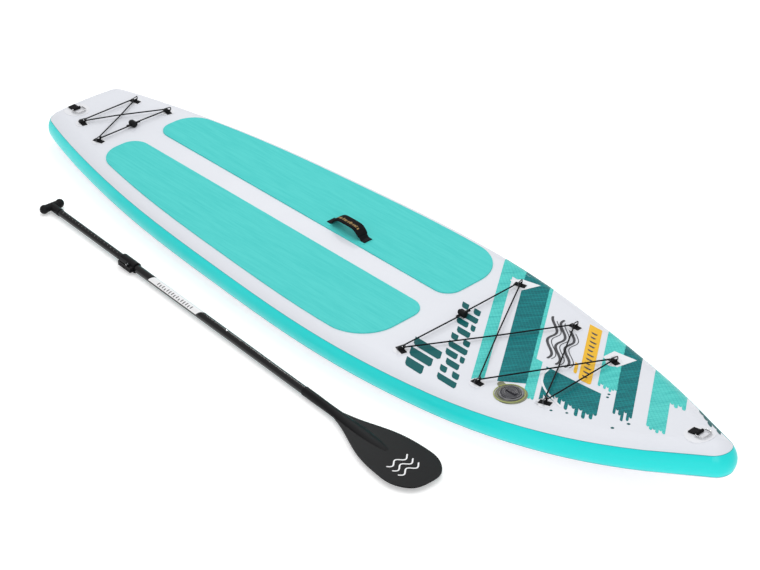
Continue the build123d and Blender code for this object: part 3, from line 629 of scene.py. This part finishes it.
@dataclass
class Studio:
    """The pale floor, the soft lights and the camera."""

    floor_level: float = -8.4 * MM
    camera_place: Place = (4.6633, -4.4579, 4.2835)
    camera_right: Place = (0.69100, 0.72275, 0.01223)
    camera_up: Place = (-0.40518, 0.37326, 0.83457)
    camera_back: Place = (0.5986, -0.5816, 0.5508)
    lens: float = 106.32
    floor_reach: float = 14.0
    sky: float = 0.74
    lamps: tuple[tuple[str, Place, Place, float, float], ...] = (
        ("overhead", (-0.5, 0.5, 5.0), (0.0, 0.0, 0.0), 5.0, 90.0),
        ("window", (4.4, -3.6, 2.4), (1.0, 0.0, 0.0), 2.2, 48.0),
        ("kicker", (-5.2, 4.4, 4.6), (-0.5, -0.5, 0.0), 0.8, 48.0),
    )

    def build(self) -> None:
        """Places the floor, the lights and the camera."""
        across = np.linspace(-self.floor_reach, self.floor_reach, 3)
        x, y = np.meshgrid(across, across, indexing="ij")
        ground = np.stack((x, y, np.full_like(x, self.floor_level)), -1)
        floor = Sheaf("studio_floor").grid(ground[:, ::-1]).piece()
        floor.data.materials.append(Wardrobe.material(FLOOR))
        world = bpy.data.worlds.new("studio")
        world.use_nodes = True
        background = world.node_tree.nodes["Background"]
        background.inputs["Color"].default_value = (1.0, 1.0, 1.0, 1.0)
        background.inputs["Strength"].default_value = self.sky
        bpy.context.scene.world = world
        for name, place, aim, size, power in self.lamps:
            self.lamp(name, place, aim, size, power)
        scene = bpy.context.scene
        scene.view_settings.view_transform = "Standard"
        data = bpy.data.cameras.new("camera")
        data.lens = self.lens
        data.sensor_width = 36.0
        data.clip_end = 60.0
        camera = bpy.data.objects.new("camera", data)
        turned = Matrix((self.camera_right, self.camera_up, self.camera_back)).transposed().to_4x4()
        camera.matrix_world = Matrix.Translation(self.camera_place) @ turned
        scene.collection.objects.link(camera)
        scene.camera = camera

    @staticmethod
    def lamp(name: str, place: Place, aim: Place, size: float, power: float) -> None:
        """Hangs a square area light.

        Args:
            name: The light's name.
            place: Where it hangs, in metres.
            aim: The point that it faces.
            size: Its side in metres.
            power: Its power in watts.
        """
        data = bpy.data.lights.new(name, "AREA")
        data.size = size
        data.energy = power
        item = bpy.data.objects.new(name, data)
        back = Matrix.Translation(place).translation - Matrix.Translation(aim).translation
        item.matrix_world = Matrix.Translation(place) @ back.to_track_quat("Z", "Y").to_matrix().to_4x4()
        bpy.context.scene.collection.objects.link(item)


@dataclass
class Hull:
    """The air chamber: deck, rails and bottom, with the welded seams between them."""

    bead: float = 0.9 * MM

    def build(self) -> None:
        """Dresses the skins and lays a bead of weld along both seams, coloured a darker teal as painted shade
        along the overlap.
        """
        Wardrobe.dress_node("deck_skin", DECK_WHITE)
        Wardrobe.dress_node("bottom_skin", UNDER_WHITE)
        Wardrobe.dress_node("rail_port", RAIL_AQUA)
        Wardrobe.dress_node("rail_starboard", RAIL_AQUA)
        Wardrobe.dress_node("drop_stitch_threads", UNDER_WHITE)
        Wardrobe.dress_node("fin_base", PLASTIC)
        for name, node in (("deck_seam", "deck_skin"), ("bottom_seam", "bottom_skin")):
            rim = convex_rim(vertices_of(node), 900)
            # The bead's darker teal is painted shade along the seam.
            settle(Sheaf(name).grid(tube_along(rim, self.bead, 8), True, True).piece(), SEAM_SHADE_AQUA, "board")


@dataclass(frozen=True)
class Band:
    """A printed band across the deck.

    Its long edges are slanted: share * y + x stays the same along them. It runs from a near end
    at y = near, or at depth inside the port rim, to the port rim or to y = far.
    """

    start: float
    stop: float
    near: float = 0.0
    far: float | None = None
    depth: float | None = None
    near_stop: float | None = None
    drips: tuple[float, ...] = ()


@dataclass
class DeckPrint:
    """The printed bands, drips, panel and marks on the nose half of the deck."""

    slant: float = 0.70
    pale: tuple[Band, ...] = (
        Band(570, 620, near=-227, near_stop=-204),
        Band(619, 672, near=300),
        Band(783, 799, near=4),
        Band(783, 826, near=-172, far=5, drips=(2, 8, 4)),
        Band(1055, 1134, near=38, drips=(14, 2, 16, 4, 18, 6, 0)),
        Band(1265, 1340, near=-55, drips=(4, 14, 8, 18, 2, 10)),
        Band(1340, 1402, near=92, drips=(6, 16, 2, 12)),
    )
    dark: tuple[Band, ...] = (
        Band(671, 784, near=-176, near_stop=-122),
        Band(845, 1076, near=-112, far=-5,
             drips=(50, 22, 18, 34, 4, 30, 6, 36, 10, 16, 42, 8, 38, 12, 26, 2)),
        Band(1132, 1208, near=-38, drips=(30, 8, 26, 48, 4, 36, 18)),
    )
    edging: tuple[Band, ...] = (
        Band(576, 796, depth=16),
        Band(1452, 1542, depth=30, drips=(2, 10, 22, 0, 12)),
    )
    white: tuple[tuple[tuple[float, float], ...], ...] = (
        ((418, 279), (445, 312), (514, 330), (487, 255)),
        ((940, 160), (945, 212), (1034, 219), (1014, 144)),
    )
    curve: tuple[tuple[float, float], ...] = ((866, -20), (872, -52), (900, -84), (950, -115), (1010, -136))
    curve_width: float = 7.0
    panel: Band = Band(976, 1030, near=10, far=278, drips=(0,))
    chip: Band = Band(952, 966, near=28, far=78, drips=(0,))
    lift: float = 0.35 * MM
    sky: float = 0.6
    plain_lines: int = 10
    drip_lines: int = 12
    drip_round: float = 9.0
    word_line: float = 437.0
    word_lean: float = 1.5
    word_foot: float = -304.0
    word_pitch: float = 38.5
    word_height: float = 27.0
    word_count: int = 10
    word_cuts: tuple[tuple[tuple[int, int], ...], ...] = (
        ((0, 84),), ((0, 30), (54, 84)), ((14, 72),), ((0, 52), (64, 84)))
    bars: tuple[tuple[int, int], ...] = ((300, 378), (304, 404), (308, 430))
    bar_foot: float = -326.0
    bar_pitch: float = 49.0
    bar_height: float = 38.0
    drops: tuple[Place, ...] = ((1236, -132, 6), (1259, -84, 6), (1108, -8, 5), (1028, -180, 5),
                                (1074, -158, 5), (1100, 8, 5))
    waves: tuple[Place, ...] = ((838, 30, 226), (876, 22, 236), (914, 30, 214))
    wave_swing: float = 15.0
    wave_length: float = 108.0
    wave_width: float = 9.0
    echo_width: float = 3.0
    echo_offset: float = 17.0
    tick_line: float = 988.0
    tick_foot: float = 30.0
    tick_pitch: float = 21.0
    tick_height: float = 7.0
    tick_count: int = 11

    def rim(self) -> np.ndarray:
        """The deck's port rim from tail to nose, a little inside its lower edge."""
        edge = convex_rim(vertices_of("deck_skin"), 1400)
        edge = edge[edge[:, 1] > 2 * MM]
        return edge[np.argsort(edge[:, 0])] - np.array((0.0, 1.6 * MM, 0.0))

    def ends(self, band: Band, along: np.ndarray) -> tuple[np.ndarray, np.ndarray]:
        """Near and far end of a band on each slanted line, in metres.

        A drip adds its length, and its end is rounded: r - sqrt(r^2 - d^2) at d from its middle.

        Args:
            band: The band.
            along: Its slanted lines, in metres.

        Returns:
            y of the near end and of the far end on each line.
        """
        rim = self.rim()
        slanted = rim[:, 0] + self.slant * rim[:, 1]
        order = np.argsort(slanted)
        edge = np.interp(along, slanted[order], rim[order, 1])
        far = edge if band.far is None else np.minimum(edge, band.far * MM)
        share = (along - along[0]) / (along[-1] - along[0])
        low = band.near if band.near_stop is None else band.near + (band.near_stop - band.near) * share
        near = far - band.depth * MM if band.depth is not None else np.broadcast_to(low * MM, along.shape)
        if band.drips:
            place = share * len(band.drips) * 0.999999
            which = place.astype(int)
            span = (band.stop - band.start) / len(band.drips) / 2
            radius = min(span, self.drip_round)
            off = np.clip(np.abs((place - which) * 2 - 1) * span - (span - radius), 0, radius)
            near = near - np.array(band.drips)[which] * MM + (radius - np.sqrt(radius**2 - off**2)) * MM
        return near, far

    def strip(self, band: Band, rows: int = 44) -> np.ndarray:
        """A band as a grid of slanted lines, finer towards the rim: x = line - slant * y.

        Args:
            band: The band.
            rows: Points along each slanted line.

        Returns:
            The grid, above the deck.
        """
        if band.drips:
            cell = np.concatenate((np.linspace(0, 1, self.drip_lines + 1)[:-1], (0.9995,)))
            share = ((np.arange(len(band.drips))[:, None] + cell[None]) / len(band.drips)).ravel()
        else:
            share = np.linspace(0, 1, self.plain_lines)
        along = (band.start + (band.stop - band.start) * share) * MM
        near, far = self.ends(band, along)
        t = 1 - (1 - np.linspace(0, 1, rows)) ** 1.8
        y = near[:, None] + (far - near)[:, None] * t[None]
        x = along[:, None] - self.slant * y
        return np.stack((x, y, np.full_like(x, self.sky)), -1)

    def patch(self, corners: Sequence[Sequence[float]], count: int = 16) -> np.ndarray:
        """A four-cornered patch: corners blended along both sides."""
        a, b, c, d = (np.array(p) * MM for p in corners)
        u, v = np.meshgrid(np.linspace(0, 1, count), np.linspace(0, 1, count), indexing="ij")
        u, v = u[..., None], v[..., None]
        flat = (a * (1 - u) + b * u) * (1 - v) + (d * (1 - u) + c * u) * v
        return np.concatenate((flat, np.full((count, count, 1), self.sky)), -1)

    def stroke(self, middle: np.ndarray, width: float) -> np.ndarray:
        """A line of even width about a path in plan, rounded at both ends."""
        ahead = np.gradient(middle, axis=0)
        ahead /= np.linalg.norm(ahead, axis=1, keepdims=True)
        side = np.stack((-ahead[:, 1], ahead[:, 0]), 1)
        run = np.concatenate(([0.0], np.cumsum(np.linalg.norm(np.diff(middle, axis=0), axis=1))))
        left = np.clip(np.minimum(run, run[-1] - run), 0, width / 2)
        half = np.sqrt(np.clip((width / 2) ** 2 - (width / 2 - left) ** 2, 1e-10, None))
        rows = middle[:, None] + side[:, None] * (half[:, None] * np.linspace(-1, 1, 5)[None])[..., None]
        return np.concatenate((rows, np.full((*rows.shape[:2], 1), self.sky)), -1)

    def dash(self, start: float, stop: float, foot: float, height: float) -> np.ndarray:
        """A small slanted bar with a rounded near end, foot to foot + height across the deck."""
        return self.strip(Band(start, stop, near=foot, far=foot + height, drips=(0,)), 6)

    def wave(self, line: float, low: float, high: float) -> np.ndarray:
        """A wavy path along a slanted line: the line swings as a sine of y."""
        y = np.linspace(low, high, 90)
        along = line + self.wave_swing * np.sin(TURN * (y - low) / self.wave_length)
        return np.stack((along - self.slant * y, y), 1) * MM

    def lay(self, sheaf: Sheaf, finish: Finish, level: int) -> None:
        """Drapes a finished print on the deck, in its layer."""
        settle(drape(sheaf.piece(), "deck_skin", self.lift * (1 + 0.5 * level)), finish, "board")

    def build(self) -> None:
        """Lays the bands, then what is printed over them."""
        for name, bands, finish, level in (
                ("print_pale_bands", self.pale, PRINT_PALE, 0),
                ("print_dark_bands", self.dark, PRINT_DARK, 0),
                ("print_dark_edging", self.edging, PRINT_INK, 1),
                ("print_yellow_panel", (self.panel, self.chip), PRINT_YELLOW, 1)):
            sheaf = Sheaf(name)
            for band in bands:
                sheaf.grid(self.strip(band))
            self.lay(sheaf, finish, level)
        white = Sheaf("print_white_kites")
        for corners in self.white:
            white.grid(self.patch(corners))
        white.grid(self.stroke(soft_route(self.curve) * MM, self.curve_width * MM))
        self.lay(white, PRINT_WHITE, 2)
        self.marks()

    def marks(self) -> None:
        """Plain shapes in place of lettering: slanted dashes, three waves, ticks and loose drops."""
        ink = Sheaf("print_dashes")
        for i in range(self.word_count):
            foot = self.word_foot + self.word_pitch * i
            line = self.word_line + self.word_lean * i
            for first, last in self.word_cuts[i % len(self.word_cuts)]:
                ink.grid(self.dash(line + first, line + last, foot, self.word_height))
        for i, (first, last) in enumerate(self.bars):
            ink.grid(self.dash(first, last, self.bar_foot + self.bar_pitch * i, self.bar_height))
        for x, y, size in self.drops:
            ink.grid(self.stroke(np.linspace((x - size, y), (x + size, y), 24) * MM, 1.6 * size * MM))
        self.lay(ink, PRINT_INK, 1)
        grey = Sheaf("print_waves")
        for line, low, high in self.waves:
            grey.grid(self.stroke(self.wave(line, low, high), self.wave_width * MM))
            echo = self.wave(line + self.echo_offset, low + 6, high - 12)
            grey.grid(self.stroke(echo, self.echo_width * MM))
        for i in range(self.tick_count):
            stop = self.tick_line + 24 + 4 * (i % 3)
            grey.grid(self.dash(self.tick_line, stop, self.tick_foot + self.tick_pitch * i, self.tick_height))
        self.lay(grey, PRINT_GREY, 3)


@dataclass
class DeckPads:
    """Two grooved foam pads with rolled edges."""

    edge: float = 1.6 * MM
    sides: int = 420

    def build(self) -> None:
        """Replaces each pad's plain solid."""
        for side in ("port", "starboard"):
            self.pad(f"deck_pad_{side}")

    def pad(self, node: str) -> None:
        """One pad: rings from the deck up the wall, round the edge and in to the spine.

        The top's rings blend the outline with its own spine, the middle line that each outline
        point faces, and a low crown of 1 - t^2 lifts nothing past the solid's own top.
        """
        low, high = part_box(node)
        rim = convex_rim(vertices_of(node), self.sides)[:, :2]
        ahead = np.roll(rim, -1, 0) - np.roll(rim, 1, 0)
        ahead /= np.linalg.norm(ahead, axis=1, keepdims=True)
        inward = np.stack((-ahead[:, 1], ahead[:, 0]), 1)
        rings = [np.column_stack((rim, np.full(len(rim), low.z + 0.02 * MM)))]
        for turn in np.linspace(0, math.pi / 2, 7):
            shift = self.edge * (1 - math.cos(turn))
            level = high.z - self.edge * (1 - math.sin(turn)) - 0.15 * MM
            rings.append(np.column_stack((rim + inward * shift, np.full(len(rim), level))))
        inner = rings[-1][:, :2]
        middle = (rim.min(0) + rim.max(0)) / 2
        half = (rim.max(0) - rim.min(0)) / 2
        rear, front = middle[0] - half[0] + half[1], middle[0] + half[0] - half[1]
        spine = np.column_stack((np.clip(inner[:, 0], rear, front), np.full(len(rim), middle[1])))
        for t in np.linspace(0, 1, 15)[1:]:
            level = high.z - 0.15 * MM * (1 - t)
            rings.append(np.column_stack((inner * (1 - t) + spine * t, np.full(len(rim), level))))
        item = Sheaf(node + "_foam").grid(np.stack(rings), wrap_columns=True).piece(outward=True)
        settle(item, PAD_AQUA, "board", (node,))


@dataclass
class CarryHandle:
    """The webbing arch over the port pad, with its padded sleeve, print and sewing."""

    spread: float = 92 * MM
    foot: float = 16 * MM
    leg: float = 26 * MM
    width: float = 38 * MM
    webbing: float = 2.6 * MM
    sleeve_wall: float = 4 * MM
    bare_end: float = 7 * MM
    dashes: int = 14
    dash_pitch: int = 10
    first_dash: int = 30

    def route(self) -> np.ndarray:
        """The arch's middle line in x and z, from the CAD webbing's box."""
        low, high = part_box("handle_webbing")
        base = low.z + self.webbing / 2
        top = high.z - self.webbing / 2
        middle = (low.x + high.x) / 2
        knee, shoulder = self.spread - self.foot, self.spread - self.foot - self.leg
        half_up = (base + top) / 2
        right = [(shoulder * 0.5, top), (shoulder * 0.9, top - 2 * MM), ((knee + shoulder) / 2, half_up),
                 (knee, base), (self.spread - self.foot / 2, base), (self.spread, base)]
        corners = [(-x, z) for x, z in right[::-1]] + [(0.0, top)] + right
        line = soft_route(corners, 12)
        return line + np.array((middle, 0.0))

    def swept(self, line: np.ndarray, profile: np.ndarray, grow: np.ndarray | None = None) -> np.ndarray:
        """Carries a profile along the arch: its second coordinate follows the line's own normal.

        Args:
            line: The arch's middle line in x and z.
            profile: Points of (across, out).
            grow: A factor on out at each point of the line.

        Returns:
            The swept grid.
        """
        low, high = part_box("handle_webbing")
        across = (low.y + high.y) / 2
        ahead = np.gradient(line, axis=0)
        ahead /= np.linalg.norm(ahead, axis=1, keepdims=True)
        normal = np.stack((-ahead[:, 1], ahead[:, 0]), 1)
        scale = np.ones(len(line)) if grow is None else grow
        out = profile[None, :, 1] * scale[:, None]
        x = line[:, None, 0] + normal[:, None, 0] * out
        z = line[:, None, 1] + normal[:, None, 1] * out
        y = across + profile[None, :, 0] * (0.9 + 0.1 * scale[:, None])
        return np.stack((x, y, z), -1)

    @staticmethod
    def closed(rings: np.ndarray) -> np.ndarray:
        """The rings with each end drawn in to its own middle."""
        first, last = (np.broadcast_to(rings[i].mean(0), rings[i].shape)[None] for i in (0, -1))
        return np.concatenate((first, rings, last))

    @staticmethod
    def loaf(half_width: float, half_height: float, square: float, count: int = 40) -> np.ndarray:
        """A squared ellipse: cosine and sine each raised to 2 / square."""
        angle = np.linspace(0, TURN, count, endpoint=False)
        c, s = np.cos(angle), np.sin(angle)
        return np.stack((half_width * np.sign(c) * np.abs(c) ** (2 / square),
                         half_height * np.sign(s) * np.abs(s) ** (2 / square)), 1)

    def build(self) -> None:
        """Builds webbing, sleeve, gold dashes and sewing."""
        line = self.route()
        strap = self.closed(self.swept(line, self.loaf(self.width / 2, self.webbing / 2, 6)))
        settle(Sheaf("handle_webbing_woven").grid(strap, wrap_columns=True).piece(outward=True), WEBBING,
               "board", ("handle_webbing",))
        middle = line[:, 0].mean()
        span = np.abs(line[:, 0] - middle) < self.spread - self.foot - self.bare_end
        held = line[span]
        share = np.abs(np.linspace(-1, 1, len(held)))
        grow = np.sqrt(np.clip(1 - share**14, 0.0, 1)) * (1 + 0.05 * (1 - share**2))
        wide, thick = self.width / 2 + self.sleeve_wall * 0.9, self.webbing / 2 + self.sleeve_wall * 0.9
        sleeve = self.swept(held, self.loaf(wide, thick, 3.4), np.clip(grow, 0.34, None))
        item = Sheaf("handle_sleeve_padded").grid(self.closed(sleeve), wrap_columns=True).piece(outward=True)
        settle(item, SLEEVE, "board", ("handle_sleeve",))
        gold = Sheaf("handle_gold_dashes")
        fine = np.stack([np.interp(np.linspace(0, len(held) - 1, 200), np.arange(len(held)), held[:, i])
                         for i in range(2)], 1)
        for i in range(self.dashes):
            first = self.first_dash + self.dash_pitch * i
            part = fine[first:first + 5 + 2 * (i % 3)]
            y = np.linspace(-13, -3 if i % 4 else 0, 6) * MM
            profile = np.stack((y, np.full_like(y, thick * 1.09)), 1)
            gold.grid(self.swept(part, profile))
        settle(gold.piece(), GOLD_INK, "board")
        self.sew()

    def sew(self) -> None:
        """A box and a cross of stitches on each foot."""
        low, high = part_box("handle_webbing")
        sheaf = Sheaf("handle_sewing")
        y0, y1 = low.y + 5 * MM, high.y - 5 * MM
        z = low.z + self.webbing + 0.1 * MM
        for x0 in (low.x + 3 * MM, high.x - self.foot + 5 * MM):
            x1 = x0 + self.foot - 8 * MM
            square = [np.array(p) for p in ((x0, y0, z), (x1, y0, z), (x1, y1, z), (x0, y1, z))]
            for a, b in ((0, 1), (1, 2), (2, 3), (3, 0), (0, 2), (1, 3)):
                starts, stops = sewn_run(square[a], square[b])
                sheaf.copies(stitches(starts, stops, np.array((0.0, 0.0, 1.0)), 0.9 * MM), STITCH_FACES)
        settle(sheaf.piece(weld=False), THREAD, "board")
        Wardrobe.dress_node("handle_patches", PAD_AQUA)


@dataclass
class CargoNets:
    """The two bungee nets: cords, stoppers, anchor rings and their sewn straps."""

    strap_length: float = 42 * MM
    strap_width: float = 20 * MM
    strap_height: float = 1.8 * MM

    def build(self) -> None:
        """Dresses the nets' hardware and sews every strap down."""
        sheaf = Sheaf("anchor_sewing")
        for node in sorted(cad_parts):
            if node.startswith("anchor_strap_"):
                Wardrobe.dress_node(node, WEBBING)
                self.sew(node, sheaf, self.strap_length, self.strap_width, self.strap_height)
        for group in ("rear", "front"):
            Wardrobe.dress_node(f"{group}_anchor_rings", WIRE)
            Wardrobe.dress_node(f"{group}_anchor_patches", PATCH)
            Wardrobe.dress_node(f"{group}_bungee", CORD_BLACK)
            Wardrobe.dress_node(f"{group}_bungee_knots", CORD_BLACK)
            Wardrobe.dress_node(f"{group}_cord_stopper", PLASTIC)
            Wardrobe.dress_node(f"{group}_cord_stopper_button", PLASTIC)
        settle(sheaf.piece(weld=False), THREAD, "board")

    @staticmethod
    def sew(node: str, sheaf: Sheaf, length: float, width: float, height: float) -> None:
        """Two rows of stitches across each tail of a strap, on the strap's own axes.

        The axes are the principal directions of the strap seen from above: along it and across.

        Args:
            node: The strap's CAD node.
            sheaf: Where the stitches go.
            length: The strap's length.
            width: Its width.
            height: Its thickness.
        """
        points = vertices_of(node)
        foot = points[:, 2].min()
        up = np.array((0.0, 0.0, 1.0))
        flat = points[:, :2] - points[:, :2].mean(0)
        _, axes = np.linalg.eigh(flat.T @ flat)
        tails = points[:, 2] < foot + height * 1.6
        low = points[tails][:, :2]
        across = np.append(axes[:, 0], 0.0)
        along = np.append(axes[:, 1], 0.0)
        if np.ptp(low @ across[:2]) > np.ptp(low @ along[:2]):
            across, along = along, across
        centre = np.append((low.max(0) + low.min(0)) / 2, 0.0)
        for end in (-1, 1):
            for inset in (0.35, 0.62, 0.9):
                spot = centre + along * end * length / 2 * inset
                near = np.argmin(np.abs(points[:, :2] - spot[:2]).sum(1))
                level = points[near, 2]
                if level <= foot + height * 0.5:
                    level += height
                start = spot - across * width * 0.38 + up * (level + 0.1 * MM)
                starts, stops = sewn_run(start, start + across * width * 0.76, 2.4 * MM)
                sheaf.copies(stitches(starts, stops, up, 0.8 * MM), STITCH_FACES)


@dataclass
class TowingRings:
    """The nose and tail rings with their straps and patches."""

    ends: tuple[str, ...] = ("nose", "tail")

    def build(self) -> None:
        """Dresses both rings, their straps and their patches."""
        for end in self.ends:
            Wardrobe.dress_node(f"{end}_ring_patch", PATCH)
            Wardrobe.dress_node(f"{end}_ring_strap", WEBBING)
            Wardrobe.dress_node(f"{end}_ring", STEEL)


@dataclass
class AirValve:
    """The valve: olive flange, grey housing, and the dark cap with its grips."""

    spot: Place = (0.879, -0.201, 0.0)
    normal: Place = (-0.05068, 0.0, 0.998715)
    flange_rise: float = 3 * MM
    grip_level: float = 10.3 * MM
    grip_reach: tuple[float, float] = (25 * MM, 32 * MM)
    rings: tuple[Place, ...] = ((50.4, 3.0, 1.5), (44.0, 3.1, 0.8), (37.6, 8.0, 1.0))
    grips: int = 30

    def axes(self) -> tuple[np.ndarray, np.ndarray, np.ndarray, np.ndarray]:
        """The valve's seat: its origin on the deck and its three directions."""
        up = np.array(self.normal)
        across = np.array((0.0, 1.0, 0.0))
        spot = np.array(self.spot)
        level = ((vertices_of("valve_flange") - spot) @ up).max() - self.flange_rise
        return spot + up * level, np.cross(across, up), across, up

    def ring(self, radius: float, level: float, thick: float) -> np.ndarray:
        """A round bead about the valve: a circle of that radius, and a small circle about it."""
        origin, ahead, across, up = self.axes()
        turn = np.linspace(0, TURN, 96, endpoint=False)[:, None, None]
        roll = np.linspace(0, TURN, 12, endpoint=False)[None, :, None]
        reach = (radius + thick * np.cos(roll)) * MM
        return origin + reach * (np.cos(turn) * ahead + np.sin(turn) * across) + (
            level + thick * np.sin(roll)) * MM * up

    def build(self) -> None:
        """Dresses the CAD pieces, then adds beads to the flange and grips to the cap."""
        for node, finish in (("valve_flange", FLANGE), ("valve_housing", HOUSING), ("valve_nut", HOUSING),
                             ("valve_cap", CAP), ("valve_plunger", CAP)):
            Wardrobe.dress_node(node, finish)
        for i, (radius, level, thick) in enumerate(self.rings):
            bead = Sheaf(f"valve_bead_{i}").grid(self.ring(radius, level, thick), True, True)
            settle(bead.piece(outward=True), FLANGE_RIM if i == 0 else HOUSING, "board")
        origin, ahead, across, up = self.axes()
        angle = np.arange(self.grips)[:, None] * TURN / self.grips
        out = np.cos(angle) * ahead + np.sin(angle) * across
        starts, ends = (origin + out * reach + up * self.grip_level for reach in self.grip_reach)
        sheaf = Sheaf("valve_cap_grips").copies(stitches(starts, ends, up, 2.2 * MM), STITCH_FACES)
        settle(sheaf.piece(weld=False), CAP, "valve_cap")


@dataclass
class Paddle:
    """The three-piece paddle: shafts, clamp, grip and blade, with label, scale and mark."""

    heading: float = -3.4
    y: float = -0.535
    radius: float = 14.5 * MM
    upper_radius: float = 12.9 * MM
    facing: float = 136.6
    label: tuple[float, float] = (-532 * MM, -254 * MM)
    label_round: tuple[float, float] = (-96.0, 34.0)
    label_slant: float = 26 * MM
    label_dashes: int = 15
    scale_start: float = -1085 * MM
    scale_pitch: float = 20 * MM
    scale_count: int = 18
    scale_offset: float = 30.0
    wave_span: tuple[float, float] = (-56 * MM, 36 * MM)
    wave_start: float = 776 * MM
    wave_pitch: float = 27 * MM
    wave_count: int = 3

    def axes(self) -> tuple[np.ndarray, np.ndarray, np.ndarray]:
        """A point on the shaft's middle line, the way to the blade and the way to port."""
        low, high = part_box("paddle_lower_shaft")
        turn = math.radians(self.heading)
        ahead = np.array((math.cos(turn), math.sin(turn), 0.0))
        port = np.array((-math.sin(turn), math.cos(turn), 0.0))
        return np.array((0.0, self.y, (low.z + high.z) / 2)), ahead, port

    def wrapped(self, s: np.ndarray, angle: np.ndarray, radius: float) -> np.ndarray:
        """Points on a round shaft: s along it and angle round it, from port over the top."""
        origin, ahead, port = self.axes()
        up = np.array((0.0, 0.0, 1.0))
        return (origin + s[..., None] * ahead + radius * np.cos(angle)[..., None] * port
                + radius * np.sin(angle)[..., None] * up)

    def build(self) -> None:
        """Dresses the paddle and adds what is printed on it."""
        for node, finish in (
                ("paddle_upper_shaft", SHAFT), ("paddle_middle_shaft", SHAFT), ("paddle_lower_shaft", SHAFT),
                ("paddle_ferrule", PLASTIC), ("paddle_upper_plug", PLASTIC), ("paddle_grip", PLASTIC),
                ("paddle_clamp_collar", PLASTIC), ("paddle_clamp_lever", PLASTIC), ("paddle_blade", BLADE),
                ("paddle_clamp_screw", STEEL), ("paddle_lever_pivot", STEEL),
                ("paddle_spring_button", STEEL)):
            Wardrobe.dress_node(node, finish)
        self.shaft_label()
        self.length_scale()
        self.blade_mark()

    def shaft_label(self) -> None:
        """The white label: its near edge is straight, and each end is cut on a slant."""
        round_it = self.facing + np.linspace(*self.label_round, 40)
        slant = self.label_slant * (1 - np.linspace(0, 1, 40))
        start = self.label[0] - 12 * MM + slant
        stop = self.label[1] - 14 * MM + slant
        t = np.linspace(0, 1, 60)[:, None]
        s = start[None] * (1 - t) + stop[None] * t
        angle = np.radians(np.broadcast_to(round_it[None], s.shape))
        label = Sheaf("paddle_label").grid(self.wrapped(s, angle, self.radius + 0.12 * MM)).piece()
        settle(label, LABEL, "paddle")
        marks = Sheaf("paddle_label_dashes")
        for i in range(self.label_dashes):
            s0 = self.label[0] + (40 + 13.5 * i) * MM
            low, high = (20, -14 - 8 * (i % 3)) if i % 2 else (12, -34)
            angle = np.linspace(self.facing + low, self.facing + high, 8)[None] + np.zeros((2, 1))
            lean = (angle - self.facing) * -0.12 * MM
            s = s0 + np.array((0.0, 4.4))[:, None] * MM + lean
            marks.grid(self.wrapped(s, np.radians(angle), self.radius + 0.2 * MM))
        settle(marks.piece(), PRINT_GREY, "paddle")

    def length_scale(self) -> None:
        """Grey ticks along the upper shaft, longer at every fifth."""
        ticks = Sheaf("paddle_scale")
        for i in range(self.scale_count):
            s0 = self.scale_start + self.scale_pitch * i
            reach = 12 if i % 5 == 0 else 6
            middle = self.facing - self.scale_offset
            angle = np.linspace(middle - reach, middle + reach, 10)[None] + np.zeros((2, 1))
            s = s0 + np.array((0.0, 1.5))[:, None] * MM + 0 * angle
            ticks.grid(self.wrapped(s, np.radians(angle), self.upper_radius + 0.05 * MM))
        settle(ticks.piece(), TICK, "paddle_upper")

    def blade_mark(self) -> None:
        """Three white waves across the blade, in place of any mark."""
        origin, ahead, port = self.axes()
        sheaf = Sheaf("blade_waves")
        for i in range(self.wave_count):
            w = np.linspace(*self.wave_span, 60)
            s = self.wave_start + self.wave_pitch * i + 9 * MM * np.sin(TURN * w / (54 * MM))
            middle = (origin + s[:, None] * ahead + w[:, None] * port)[:, :2]
            sheaf.grid(DeckPrint().stroke(middle, 5 * MM))
        settle(drape(sheaf.piece(), "paddle_blade", 0.3 * MM), LABEL, "paddle")


def main() -> None:
    """Builds every sub-assembly in order."""
    logging.basicConfig(level=logging.INFO, format="%(message)s")
    parts = (Studio(), Hull(), DeckPrint(), DeckPads(), CarryHandle(), CargoNets(), TowingRings(), AirValve(),
             Paddle())
    for part in parts:
        part.build()
        LOG.info("finished %s", type(part).__name__)


if __name__ == "__main__":
    main()
